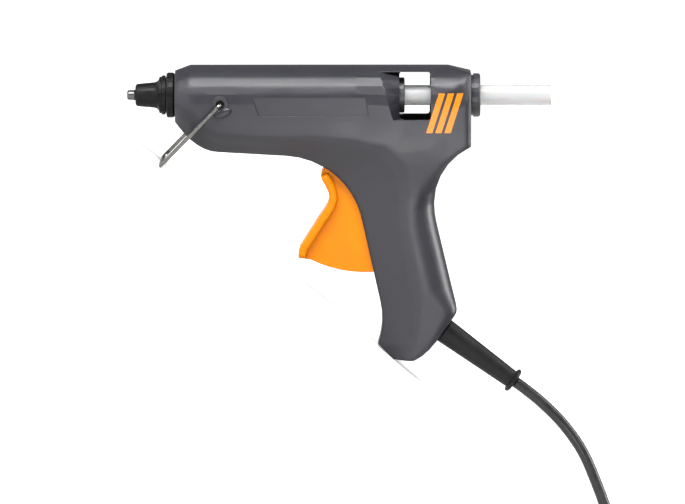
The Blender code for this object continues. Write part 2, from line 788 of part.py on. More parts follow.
def housing_grid(inset):
    # Rows of (x, half width, z) points, one row for each rung, from the front line to the rear line.
    ladder = rungs()
    count = len(ladder)
    loop = [rung[0] for rung in ladder] + [rung[1] for rung in reversed(ladder)]
    loop = offset_loop(loop, inset)
    rows = []
    for i, (_, _, ridge, flat, crown, rounding) in enumerate(ladder):
        start, end = Vector(loop[i]), Vector(loop[2 * count - 1 - i])
        length = (end - start).length
        crown_start = length - (crown - inset)
        low = [share * ridge for share in LOWER_SHARES]
        low = [min(depth, crown_start * share) for depth, share in zip(low, LIMIT_SHARES)]
        side = [low[-1] + (crown_start - low[-1]) * share for share in SIDE_SHARES]
        top = [crown_start + (length - crown_start) * share for share in CROWN_SHARES]
        row = []
        for depth in low + side + top:
            point = start.lerp(end, depth / length)
            width = half_width(
                point.x, point.y, depth + inset, length - depth + inset, (ridge, flat, rounding), inset
            )
            row.append((point.x, width, point.y))
        rows.append([(start.x, PARTING_GAP / 2, start.y), *row, (end.x, PARTING_GAP / 2, end.y)])
    return rows


def skin(bm, rows, side):
    grid = [[bm.verts.new((x, side * y, z)) for x, y, z in row] for row in rows]
    for one, two in zip(grid, grid[1:]):
        for a, b, c, d in zip(one, one[1:], two[1:], two):
            bm.faces.new((a, b, c, d))
    bm.faces.new(grid[0])
    bm.faces.new(grid[-1])
    return grid


def rim_of(grid):
    return [row[0] for row in grid] + [row[-1] for row in reversed(grid)]


def shell_mesh(side):
    # The outer and the inner skin, joined by a rim in the parting plane.
    bm = bmesh.new()
    outer = rim_of(skin(bm, housing_grid(0.0), side))
    inner = rim_of(skin(bm, housing_grid(WALL), side))
    for i in range(len(outer)):
        k = (i + 1) % len(outer)
        bm.faces.new((outer[i], outer[k], inner[k], inner[i]))
    return bm


def filled_half(side, inset):
    # The space within half the housing, closed along the parting plane.
    bm = bmesh.new()
    grid = skin(bm, housing_grid(inset), side)
    for one, two in zip(grid, grid[1:]):
        bm.faces.new((one[0], two[0], two[-1], one[-1]))
    return bm


def outer_half_width(x, z):
    # Half width of the barrel's outside above the ridge.
    height = max(z - (BARREL_TOP - BARREL_WIDTH / 2), 0.0)
    return math.sqrt((BARREL_WIDTH / 2) ** 2 - height**2)


def ramp_start(z):
    share = (z + WINDOW_BOTTOM) / (WINDOW_TOP + WINDOW_BOTTOM)
    return WINDOW_FRONT - RAMP_BOTTOM_LENGTH - (RAMP_TOP_LENGTH - RAMP_BOTTOM_LENGTH) * share


def ramp_solid(side, low, high, ahead, skin_depth, thickness, rear):
    # A wedge under the ramp, or the wedge that cuts it, in layers up the barrel's side.
    bm = bmesh.new()
    layers = RAMP_LAYERS
    rings = []
    for i in range(layers):
        z = low + (high - low) * i / (layers - 1)
        start = ramp_start(min(max(z, -WINDOW_BOTTOM), WINDOW_TOP)) - ahead
        surface = outer_half_width(start, z)
        corners = [
            (start, surface - skin_depth),
            (rear, surface - skin_depth),
            (rear, surface - RAMP_DEPTH - thickness),
            (WINDOW_FRONT, surface - RAMP_DEPTH - thickness),
            (start, surface - thickness),
        ]
        rings.append([bm.verts.new((x, side * y, z)) for x, y in corners])
    for one, two in zip(rings, rings[1:]):
        for k in range(len(one)):
            n = (k + 1) % len(one)
            bm.faces.new((one[k], one[n], two[n], two[k]))
    bm.faces.new(rings[0])
    bm.faces.new(rings[-1])
    return bm


def axis_empty(name, x, z, parent):
    made = bpy.data.objects.new(name, None)
    bpy.context.collection.objects.link(made)
    made.location = (x, 0.0, z)
    made.parent = parent
    return made


def rounded_box(x0, x1, z0, z1, radius, low, high):
    middle = ((x0 + x1) / 2, (z0 + z1) / 2)
    outline = [(middle[0] + u, middle[1] + v) for u, v in section(x1 - x0, z1 - z0, radius)]
    return prism(outline, low, high)


def filleted(points, radii, steps=5):
    # A path with its corners rounded, as points.
    line = [Vector(points[0])]
    for before, corner, after, radius in zip(points, points[1:], points[2:], radii):
        corner = Vector(corner)
        back, ahead = (Vector(before) - corner).normalized(), (Vector(after) - corner).normalized()
        half = back.angle(ahead) / 2
        reach = radius / math.tan(half)
        centre = corner + (back + ahead).normalized() * (radius / math.sin(half))
        start, end = corner + back * reach - centre, corner + ahead * reach - centre
        turn = start.angle(end)
        for i in range(steps + 1):
            share = i / steps
            arm = (start * math.sin((1 - share) * turn) + end * math.sin(share * turn)) / math.sin(turn)
            line.append(centre + arm)
    line.append(Vector(points[-1]))
    return line


def tube(name, points, diameter, parent, look, resolution=2):
    curve = bpy.data.curves.new(name, "CURVE")
    curve.dimensions = "3D"
    curve.bevel_depth = diameter / 2
    curve.bevel_resolution = resolution
    curve.use_fill_caps = True
    spline = curve.splines.new("POLY")
    spline.points.add(len(points) - 1)
    shift = Vector(parent.location) if parent and parent.parent else Vector()
    for knot, point in zip(spline.points, points):
        knot.co = (*(Vector(point) - shift), 1.0)
        knot.radius = 1.0
    spline.use_smooth = True
    return place(name, curve, parent, look)


def solid(name, bm, parent, look):
    # A node from a mesh in the gun frame, which an axis empty takes into its own.
    if parent and parent.parent:
        moved(bm, Matrix.Translation(-parent.location))
    return place(name, mesh_from(bm, name), parent, look)


def tool(name, bm, parent):
    if parent and parent.parent:
        moved(bm, Matrix.Translation(-parent.location))
    return helper(name, bm, parent)


def screw_places():
    return [
        (SCREW_INSET_X, -SCREW_INSET_DEPTH),
        (SCREW_BARREL_X, -SCREW_BARREL_DEPTH),
        (HOUSING_LENGTH - SCREW_REAR_INSET, -SCREW_REAR_DEPTH),
        (HOUSING_LENGTH - SCREW_REAR_INSET, SCREW_TOP_HEIGHT),
        (SCREW_HANDLE_X, -SCREW_HANDLE_DEPTH),
        (OUTLINE.foot_front[0] + SCREW_FOOT_INSET, -SCREW_FOOT_DEPTH),
    ]


# The strain relief's axis runs from its root on the cord face, square to that face.
RELIEF_ROOT = toward(OUTLINE.heel, RELIEF_HEEL_INSET, OUTLINE.face_angle)
RELIEF_PLACE = Matrix.Translation((RELIEF_ROOT[0], 0.0, RELIEF_ROOT[1]))
RELIEF_MATRIX = RELIEF_PLACE @ Matrix.Rotation(CORD_ANGLE, 4, "Y")


def on_relief(along, across=0.0, sideways=0.0):
    return RELIEF_MATRIX @ Vector((along, sideways, across))


def clamp_screw_places():
    return [on_relief(-CLAMP_INSET, side * CLAMP_SCREW_SPACING / 2) for side in (1, -1)]


def clamp_seat():
    return CLAMP_THICKNESS - CLAMP_FACE + 2 * GAP


def slot_outline():
    # The trigger's slot, swept round the pivot: over the shield, out in front, and under the web.
    pivot = (PIVOT_X, -PIVOT_DEPTH)
    near = TRIGGER_SHIELD + ARM_CLEARANCE
    shield = arc_points(pivot, near, SLOT_START, SLOT_TURN, SHIELD_STEPS)
    under = arc_points(pivot, TRIGGER_BOTTOM_RADIUS + ARM_CLEARANCE, SLOT_TURN, SLOT_END, UNDER_STEPS)
    return [*shield, *under, polar(pivot, near, SLOT_END)]


def furniture(side, parent):
    # Bosses, ribs and rails of one shell, before they are trimmed to its inside.
    wall = side * BARREL_WIDTH / 2
    seam = side * (PARTING_GAP / 2 + BOSS_SETBACK)
    radius = SCREW_BOSS_DIAMETER / 2
    posts = [rod(x, z, radius, seam, wall) for x, z in screw_places()]
    posts.append(rod(PIVOT_X, -PIVOT_DEPTH, PIVOT_BOSS_DIAMETER / 2, side * PIVOT_BOSS_FACE, wall))
    posts.append(
        rod(STAND_PIVOT_X, -STAND_PIVOT_DEPTH, STAND_BOSS_DIAMETER / 2, side * STAND_BOSS_FACE, wall)
    )
    stop = STAND_PIVOT_X + STAND_WIRE / 2 + GAP
    foot = STAND_WIRE - STAND_PIVOT_DEPTH
    nub = box(stop, stop + STOP_LENGTH, side * STOP_FACE, wall, foot, foot + STOP_HEIGHT)
    for height in (FIN_THICKNESS / 2 + ARM_CLEARANCE, -FIN_THICKNESS / 2 - ARM_CLEARANCE - RAIL_THICKNESS):
        rail = (side * RAIL_FACE, wall, height, height + RAIL_THICKNESS)
        posts.append(box(RAIL_FRONT, RAIL_FRONT + RAIL_LENGTH, *rail))
    if side < 0:
        for at in clamp_screw_places():
            posts.append(rod(at.x, at.z, CLAMP_BOSS_DIAMETER / 2, -CLAMP_FACE, wall))
    else:
        posts.append(rod(*peg_place(), PEG_DIAMETER / 2, PEG_FACE, wall))
    guide = helper(f"posts_{side}", merged(*posts), parent)
    ribs = helper(f"ribs_{side}", merged(
        nub,
        box(FRONT_RIB_X, FRONT_RIB_X + RIB_THICKNESS, seam, wall, -FOOT_DEPTH, BARREL_TOP),
        box(MIDDLE_RIB_X, MIDDLE_RIB_X + RIB_THICKNESS, seam, wall, -RIB_BOTTOM, BARREL_TOP),
        box(SLEEVE_RIB_X, SLEEVE_RIB_X + RIB_THICKNESS, seam, wall, -RIB_BOTTOM, BARREL_TOP),
    ), parent)
    tube_hole = TUBE_DIAMETER / 2 + GAP
    sleeve_hole = SLEEVE_DIAMETER / 2 + GAP
    over = side * OVERRUN
    holes = merged(
        bar(FRONT_RIB_X - OVERRUN, MIDDLE_RIB_X + OVERRUN, tube_hole),
        bar(SLEEVE_RIB_X - OVERRUN, SLEEVE_RIB_X + OVERRUN, sleeve_hole),
    )
    cut(ribs, helper(f"rib_holes_{side}", holes, parent))
    inside = helper(f"inside_{side}", filled_half(side, WALL / 2), parent)
    for item in (guide, ribs):
        boolean(item, "INTERSECT", inside)
    return guide, ribs


def housing_cutters(side, parent):
    wall = side * (BARREL_WIDTH / 2 + OVERRUN)
    reach = BARREL_WIDTH
    openings = merged(
        rounded_box(
            WINDOW_FRONT,
            WINDOW_FRONT + WINDOW_LENGTH,
            -WINDOW_BOTTOM,
            WINDOW_TOP,
            WINDOW_CORNER,
            -reach,
            reach,
        ),
        prism(slot_outline(), -WEB_WIDTH / 2 - ARM_CLEARANCE, WEB_WIDTH / 2 + ARM_CLEARANCE),
        bar(-OVERRUN, WALL + OVERRUN, NECK_DIAMETER / 2 + GAP),
        bar(HOUSING_LENGTH - WALL - OVERRUN, HOUSING_LENGTH + OVERRUN, COLLAR_SPIGOT_DIAMETER / 2 + GAP),
        moved(bar(-WALL - OVERRUN, OVERRUN, RELIEF_NECK_DIAMETER / 2 + GAP), RELIEF_MATRIX),
    )
    label_end = LABEL_FRONT + LABEL_LENGTH
    label = [
        (LABEL_FRONT, LABEL_TOP),
        (label_end - LABEL_SLANT / 2, LABEL_TOP),
        (label_end, LABEL_TOP - LABEL_HEIGHT),
        (LABEL_FRONT + LABEL_SLANT, LABEL_TOP - LABEL_HEIGHT),
    ]
    hole = STAND_WIRE / 2 + GAP
    mouth = side * (BARREL_WIDTH / 2 - MOUTH_DEPTH)
    pockets = [
        prism(label, side * (BARREL_WIDTH / 2 - LABEL_DEPTH), wall),
        rod(STAND_PIVOT_X, -STAND_PIVOT_DEPTH, STAND_HOLE_DIAMETER / 2, mouth, wall),
        rod(PIVOT_X, -PIVOT_DEPTH, PIVOT_PIN_DIAMETER / 2 + GAP, 0.0, side * (PIVOT_PIN_LENGTH / 2 + GAP)),
        ramp_solid(side, -WINDOW_BOTTOM, WINDOW_TOP, 0.0, -OVERRUN, 0.0, WINDOW_FRONT + OVERRUN),
    ]
    shank = SCREW_SHANK_DIAMETER / 2 + GAP
    head = SCREW_HEAD_DIAMETER / 2 + GAP
    for x, z in screw_places():
        if side > 0:
            steps = [
                (-OVERRUN, 0),
                (-OVERRUN, shank),
                (SCREW_SEAT, shank),
                (SCREW_SEAT, head),
                (wall, head),
                (wall, 0),
            ]
            turn = Matrix.Translation((x, 0.0, z)) @ Matrix.Rotation(math.pi / 2, 4, "Z")
            pockets.append(moved(turned(steps, SMALL_SIDES), turn))
        else:
            pockets.append(rod(x, z, shank, OVERRUN, SCREW_SEAT - SCREW_LENGTH - GAP))
    if side < 0:
        for at in clamp_screw_places():
            depth = clamp_seat() - CLAMP_SCREW_LENGTH - GAP
            pockets.append(rod(at.x, at.z, CLAMP_SCREW_DIAMETER / 2 + GAP, OVERRUN, depth))
    wire_hole = rod(STAND_PIVOT_X, -STAND_PIVOT_DEPTH, hole, side * (STAND_BOSS_FACE - OVERRUN), wall)
    return (
        helper(f"openings_{side}", openings, parent),
        helper(f"pockets_{side}", merged(*pockets), parent),
        helper(f"wire_hole_{side}", wire_hole, parent),
    )


def lug(side):
    # The lens-shaped rise beside the wire stand's pivot.
    bm = bmesh.new()
    bmesh.ops.create_uvsphere(bm, u_segments=SMALL_SIDES, v_segments=SMALL_SIDES // 2, radius=1.0)
    size = Matrix.Diagonal((LUG_LENGTH / 2, LUG_RISE, LUG_HEIGHT / 2, 1.0))
    turn = Matrix.Rotation(-LUG_ANGLE, 4, "Y")
    return moved(bm, Matrix.Translation((LUG_X, side * BARREL_WIDTH / 2, -LUG_DEPTH)) @ turn @ size)


def build_housing(name, side, parent, look):
    shell = solid(name, shell_mesh(side), parent, look)
    posts, ribs = furniture(side, parent)
    low, high = -WINDOW_BOTTOM - WALL, WINDOW_TOP + WALL / 2
    wedge = ramp_solid(side, low, high, WALL, WALL / 2, WALL, WINDOW_FRONT + WALL)
    ramp = helper(f"ramp_{side}", wedge, parent)
    face = BARREL_WIDTH / 2
    ring = rod(
        STAND_PIVOT_X,
        -STAND_PIVOT_DEPTH,
        STAND_BOSS_DIAMETER / 2,
        side * (face - WALL / 2),
        side * (face + STAND_BOSS_RISE),
    )
    ring = helper(f"ring_{side}", ring, parent)
    screw_lug = helper(f"lug_{side}", lug(side), parent)
    for guide in (posts, ribs, ramp, ring, screw_lug):
        fuse(shell, guide)
    for guide in housing_cutters(side, parent):
        cut(shell, guide)
    return shell


def build_melt_tube(parent, look):
    neck, body = NECK_DIAMETER / 2, TUBE_DIAMETER / 2
    bore = STICK_DIAMETER / 2 + BORE_CLEARANCE
    channel = CHANNEL_DIAMETER / 2
    shoulder = WALL + GAP
    profile = [
        (-NECK_LENGTH, neck),
        (shoulder, neck),
        (shoulder, body),
        (TUBE_REAR, body),
        (TUBE_REAR, bore),
        (STICK_STOP, bore),
        (STICK_STOP - CONE_LENGTH, channel),
        (-NECK_LENGTH, channel),
    ]
    tube_node = solid("melt_tube", turned(profile), parent, look)
    end = POCKET_FRONT + POCKET_LENGTH
    half = POCKET_WIDTH / 2
    pocket = box(POCKET_FRONT, end, -half, half, -POCKET_DEPTH, -(body + bore) / 2)
    fuse(tube_node, helper("pocket", pocket, parent))
    slot = HEATER_THICKNESS / 2 + GAP
    middle = -POCKET_DEPTH + POCKET_WALL + slot
    width = half - POCKET_WALL
    hollow = box(POCKET_FRONT - OVERRUN, end + OVERRUN, -width, width, middle - slot, middle + slot)
    cut(tube_node, helper("pocket_slot", hollow, parent))
    half = HEATER_THICKNESS / 2
    heater = box(POCKET_FRONT, end, GAP - width, width - GAP, middle - half, middle + half)
    return middle, heater


def build_nozzle(parent, look):
    tip, body = NOZZLE_TIP_DIAMETER / 2, NOZZLE_BODY_DIAMETER / 2
    bore = NOZZLE_BORE_DIAMETER / 2
    front = -NOZZLE_REACH
    tip_end = front + NOZZLE_TIP_LENGTH
    seat = -NECK_LENGTH - GAP
    profile = [
        (front, bore),
        (front, tip - NOZZLE_EDGE),
        (front + NOZZLE_EDGE * (1 - math.cos(math.pi / 4)), tip - NOZZLE_EDGE * (1 - math.sin(math.pi / 4))),
        (front + NOZZLE_EDGE, tip),
        (tip_end - NOZZLE_EDGE, tip),
        (tip_end - NOZZLE_EDGE / 2, tip + NOZZLE_BEAD),
        (tip_end, tip),
        (tip_end + NOZZLE_EDGE, tip),
        (tip_end + NOZZLE_SHOULDER, body),
        (seat, body),
        (seat, CHANNEL_DIAMETER / 2),
        (tip_end + NOZZLE_SHOULDER, bore),
    ]
    solid("nozzle", turned(profile), parent, look)


def build_boot(parent, look):
    # Silicone boot: a rounded nose, a cone, a flare, a step with a groove and the flange.
    nose, neck = BOOT_NOSE_DIAMETER / 2, BOOT_NECK_DIAMETER / 2
    step, flange = BOOT_STEP_DIAMETER / 2, BOOT_FLANGE_DIAMETER / 2
    tip_end = -NOZZLE_REACH + NOZZLE_TIP_LENGTH
    hole = NOZZLE_TIP_DIAMETER / 2 + GAP + NOZZLE_BEAD
    inner = NOZZLE_BODY_DIAMETER / 2 + GAP
    seat = NECK_DIAMETER / 2 + GAP
    rear = -GAP
    flange_front = -BOOT_FLANGE_LENGTH - GAP
    step_front = flange_front - BOOT_GROOVE_WIDTH - BOOT_STEP_LENGTH + BOOT_FLANGE_EDGE
    corner = (nose - hole) * BOOT_NOSE_SHARE
    widening = step - BOOT_FLANGE_EDGE - neck
    flare = [
        (
            -BOOT_NECK_X + (BOOT_NECK_X - BOOT_FLARE_X) * math.sin(QUARTER * i / FLARE_STEPS),
            neck + widening * (1 - math.cos(QUARTER * i / FLARE_STEPS)),
        )
        for i in range(FLARE_STEPS + 1)
    ]
    nose_arc = arc_points((tip_end + corner, nose - corner), corner, math.pi, math.pi / 2, NOSE_STEPS)
    profile = [
        (tip_end, hole),
        *nose_arc,
        *flare,
        (step_front, step - BOOT_FLANGE_EDGE),
        (step_front + BOOT_FLANGE_EDGE / 2, step),
        (flange_front - BOOT_GROOVE_WIDTH, step),
        (flange_front - BOOT_GROOVE_WIDTH, step - BOOT_GROOVE_DEPTH),
        (flange_front, step - BOOT_GROOVE_DEPTH),
        (flange_front, flange - BOOT_FLANGE_EDGE),
        (flange_front + BOOT_FLANGE_EDGE, flange),
        (rear - BOOT_FLANGE_EDGE, flange),
        (rear, flange - BOOT_FLANGE_EDGE),
        (rear, seat),
        (-NECK_LENGTH, seat),
        (-NECK_LENGTH, inner),
        (tip_end + NOZZLE_SHOULDER - GAP, inner),
        (tip_end + NOZZLE_EDGE - GAP, hole),
    ]
    solid("nozzle_boot", turned(profile), parent, look)


def build_sleeve(parent, look):
    socket = TUBE_DIAMETER / 2 + GAP
    profile = [
        (TUBE_REAR - SLEEVE_SOCKET_LENGTH, socket),
        (TUBE_REAR - SLEEVE_SOCKET_LENGTH, socket + SLEEVE_WALL),
        (TUBE_REAR + SLEEVE_WALL, socket + SLEEVE_WALL),
        (TUBE_REAR + SLEEVE_WALL, SLEEVE_DIAMETER / 2),
        (SLEEVE_REAR, SLEEVE_DIAMETER / 2),
        (SLEEVE_REAR, STICK_DIAMETER / 2 + GUIDE_CLEARANCE),
        (TUBE_REAR + GAP, STICK_DIAMETER / 2 + GUIDE_CLEARANCE),
        (TUBE_REAR + GAP, socket),
    ]
    solid("inlet_sleeve", turned(profile), parent, look)


def build_collar(parent, look):
    outer, spigot = COLLAR_DIAMETER / 2, COLLAR_SPIGOT_DIAMETER / 2
    bore = STICK_DIAMETER / 2 + CARRIAGE_CLEARANCE
    face = HOUSING_LENGTH + GAP
    ring = face + COLLAR_RING_LENGTH
    end = face + COLLAR_LENGTH
    inner = HOUSING_LENGTH - WALL - GAP
    edge = arc_points((end - COLLAR_EDGE, outer - COLLAR_EDGE), COLLAR_EDGE, math.pi / 2, 0.0, EDGE_STEPS)
    profile = [
        (inner - COLLAR_LIP, bore),
        (inner - COLLAR_LIP, spigot + COLLAR_LIP),
        (inner, spigot + COLLAR_LIP),
        (inner, spigot),
        (face, spigot),
        (face, outer - COLLAR_RING_DEPTH),
        (ring, outer - COLLAR_RING_DEPTH),
        (ring, outer),
        *edge,
        (end, bore + COLLAR_EDGE),
        (end - COLLAR_EDGE, bore),
    ]
    solid("rear_collar", turned(profile), parent, look)


def build_stick(parent, look):
    front = STICK_STOP + GAP
    radius = STICK_DIAMETER / 2
    profile = [
        (front, 0),
        (front, radius - STICK_EDGE),
        (front + STICK_EDGE, radius),
        (front + STICK_LENGTH - STICK_EDGE, radius),
        (front + STICK_LENGTH, radius - STICK_EDGE),
        (front + STICK_LENGTH, 0),
    ]
    solid("glue_stick", turned(profile), parent, look)


def section(width, height, corner):
    # A rectangle with round corners, as (across, up) points.
    line = []
    for quarter, (u, v) in enumerate([(1, 1), (-1, 1), (-1, -1), (1, -1)]):
        centre = (u * (width / 2 - corner), v * (height / 2 - corner))
        line += arc_points(centre, corner, quarter * QUARTER, (quarter + 1) * QUARTER, CORNER_STEPS)
    return line


def lofted(loops):
    # Loops of as many points each, joined one after another and closed at both ends.
    bm = bmesh.new()
    rings = [[bm.verts.new(point) for point in loop] for loop in loops]
    for one, two in zip(rings, rings[1:]):
        for i in range(len(one)):
            k = (i + 1) % len(one)
            bm.faces.new((one[i], one[k], two[k], two[i]))
    bm.faces.new(rings[0])
    bm.faces.new(rings[-1])
    return bm


def resampled(points, distances):
    # Points at the given distances along a line.
    line = np.array([tuple(point) for point in points])
    steps = np.linalg.norm(np.diff(line, axis=0), axis=1)
    run = np.concatenate([[0.0], np.cumsum(steps)])
    wanted = np.array(distances) * run[-1]
    columns = [np.interp(wanted, run, line[:, k]) for k in range(3)]
    return [Vector(point) for point in np.stack(columns, axis=1)]


def length_of(points):
    return sum((b - a).length for a, b in zip(points, points[1:]))


def bolt(x, z, seat, length, diameter, head_diameter, head_length):
    # A screw along y, its head on the +y side, with a recess in it.
    shank, head = diameter / 2, head_diameter / 2
    top = seat + head_length
    profile = [
        (seat - length, 0),
        (seat - length + shank, shank),
        (seat, shank),
        (seat, head),
        (top - SCREW_DIMPLE / 2, head),
        (top, head - SCREW_DIMPLE / 2),
        (top, head / 2),
        (top - SCREW_DIMPLE, head / 3),
        (top - SCREW_DIMPLE, 0),
    ]
    turn = Matrix.Translation((x, 0.0, z)) @ Matrix.Rotation(math.pi / 2, 4, "Z")
    return moved(turned(profile, SMALL_SIDES), turn)


def build_carriage(parent, jaw_axis, look, steel, jaw_look):
    radius, ring = CARRIAGE_DIAMETER / 2, CARRIAGE_RING_DIAMETER / 2
    bore = STICK_DIAMETER / 2 + CARRIAGE_CLEARANCE
    shoulder = CARRIAGE_REAR - CARRIAGE_RING_LENGTH
    profile = [
        (CARRIAGE_FRONT, bore),
        (CARRIAGE_FRONT, radius),
        (shoulder, radius),
        (shoulder, ring),
        (CARRIAGE_REAR - CARRIAGE_EDGE, ring),
        (CARRIAGE_REAR, ring - CARRIAGE_EDGE),
        (CARRIAGE_REAR, bore + CARRIAGE_EDGE),
        (CARRIAGE_REAR - CARRIAGE_EDGE, bore),
    ]
    carriage = solid("carriage", turned(profile), parent, look)
    fin = CARRIAGE_FRONT + FIN_INSET
    half = FIN_THICKNESS / 2
    fork = CARRIAGE_FRONT + FORK_INSET
    root = bore + GAP
    guides = merged(
        box(fin, fin + FIN_LENGTH, root, FIN_SPAN / 2, -half, half),
        box(fin, fin + FIN_LENGTH, -FIN_SPAN / 2, -root, -half, half),
        box(fork, shoulder + GAP, -FORK_WIDTH / 2, FORK_WIDTH / 2, -FORK_DEPTH, -FORK_ROOT),
    )
    fuse(carriage, helper("carriage_block", guides, parent))
    pin = DRIVE_PIN_DIAMETER / 2 + GAP
    pin_x, pin_z = drive_pin_place()
    slot = ARM_WIDTH / 2 + ARM_CLEARANCE
    jaw = JAW_WIDTH / 2 + GAP
    low = -FORK_DEPTH - OVERRUN
    pin_top = pin_z + DRIVE_PIN_DIAMETER / 2 + JAW_CLEARANCE
    cuts = merged(
        box(fork - OVERRUN, fork + FORK_SLOT_LENGTH, -slot, slot, low, -FORK_SLOT_TOP),
        box(pin_x - pin, pin_x + pin, -FORK_WIDTH, -slot - GAP, low, pin_top),
        box(pin_x - pin, pin_x + pin, slot + GAP, FORK_WIDTH, low, pin_top),
    )
    jaw_end = JAW_FRONT + JAW_LENGTH + JAW_CLEARANCE
    openings = merged(
        box(JAW_FRONT - JAW_GAP, jaw_end, -jaw, jaw, low, -FORK_ROOT + OVERRUN),
        rod(JAW_PIN_X, -JAW_PIN_DEPTH, JAW_PIN_DIAMETER / 2 + GAP, -FORK_WIDTH, -jaw - GAP),
        rod(JAW_PIN_X, -JAW_PIN_DEPTH, JAW_PIN_DIAMETER / 2 + GAP, jaw + GAP, FORK_WIDTH),
    )
    side_cuts = merged(
        box(pin_x - pin, pin_x + pin, -slot - OVERRUN, slot + OVERRUN, low, -FORK_SLOT_TOP - GAP),
        rod(JAW_PIN_X, -JAW_PIN_DEPTH, JAW_PIN_DIAMETER / 2 + GAP, -jaw - OVERRUN / 2, jaw + OVERRUN / 2),
    )
    for name, guide in (("fork_slot", cuts), ("jaw_slot", openings), ("pin_slots", side_cuts)):
        cut(carriage, helper(name, guide, parent))
    solid(
        "jaw_pin",
        rod(JAW_PIN_X, -JAW_PIN_DEPTH, JAW_PIN_DIAMETER / 2, -JAW_PIN_LENGTH / 2, JAW_PIN_LENGTH / 2),
        parent,
        steel,
    )
    top = -STICK_DIAMETER / 2 - JAW_CLEARANCE
    tooth = JAW_LENGTH / TOOTH_COUNT
    teeth = []
    for i in range(TOOTH_COUNT):
        rear = JAW_FRONT + JAW_LENGTH - tooth * i
        teeth += [(rear, top - TOOTH_DEPTH), (rear - tooth, top)]
    outline = [(JAW_FRONT, -JAW_BOTTOM), (JAW_FRONT + JAW_LENGTH, -JAW_BOTTOM), *teeth]
    grip = solid("grip_jaw", prism(outline, -JAW_WIDTH / 2, JAW_WIDTH / 2), jaw_axis, jaw_look)
    hole = rod(JAW_PIN_X, -JAW_PIN_DEPTH, JAW_PIN_DIAMETER / 2 + GAP, -JAW_WIDTH, JAW_WIDTH)
    cut(grip, tool("jaw_hole", hole, jaw_axis))


def drive_pin_place():
    return polar((PIVOT_X, -PIVOT_DEPTH), ARM_LENGTH, math.pi / 2 - TRIGGER_TRAVEL / 2)


def trigger_front():
    # The lever's front line, from the shield down to the tip.
    points = [
        (TRIGGER_TIP_X + TRIGGER_CURVE_WIDTH * a, 0.0, -TRIGGER_TOP_DEPTH - TRIGGER_CURVE_HEIGHT * b)
        for a, b in TRIGGER_FRONT_SHARES
    ]
    return smooth_curve(points, CURVE_STEPS)


def trigger_rear():
    # The web's rear line, a set distance inside the handle's front line, from the bottom up.
    pivot = Vector((PIVOT_X, -PIVOT_DEPTH))
    normal = Vector((math.sin(HANDLE_ANGLE), math.cos(HANDLE_ANGLE))) * WEB_INSET
    top = Vector(OUTLINE.handle_start) + normal
    along = Vector((math.cos(HANDLE_ANGLE), -math.sin(HANDLE_ANGLE)))
    offset = top - pivot
    lean = offset.dot(along)
    reach = math.sqrt(TRIGGER_BOTTOM_RADIUS**2 - offset.length_squared + lean**2) - lean
    bottom = top + along * reach
    bend = [
        polar(OUTLINE.junction, JUNCTION_RADIUS + WEB_INSET, math.pi / 2 - angle)
        for angle in (HANDLE_ANGLE, (HANDLE_ANGLE + WEB_TURN) / 2, WEB_TURN)
    ]
    return [tuple(bottom), *bend]


def build_pad(line):
    # The finger pad: a bar of round-edged section bent along the lever's front line.
    points = [point for point in line if -point.z > PAD_TOP_DEPTH]
    run = length_of(points)
    edge = PAD_EDGE / run
    inner = [edge + (1 - 2 * edge) * i / PAD_STATIONS for i in range(PAD_STATIONS + 1)]
    shares = [0.0, edge * PAD_END_SHARE, *inner, 1 - edge * PAD_END_SHARE, 1.0]
    stations = resampled(points, shares)
    narrow = [PAD_TIP_SHARE, PAD_NEXT_SHARE, *[1.0] * len(inner), PAD_NEXT_SHARE, PAD_TIP_SHARE]
    loops = []
    for i, (station, share) in enumerate(zip(stations, narrow)):
        ahead = (stations[min(i + 1, len(stations) - 1)] - stations[max(i - 1, 0)]).normalized()
        rearward = Vector((-ahead.z, 0.0, ahead.x))
        loop = []
        for across, up in section(PAD_WIDTH, PAD_THICKNESS, PAD_CORNER):
            depth = PAD_THICKNESS / 2 - PAD_PROUD - up * share
            loop.append(station + rearward * depth + Vector((0.0, across * share, 0.0)))
        loops.append(loop)
    return lofted(loops)


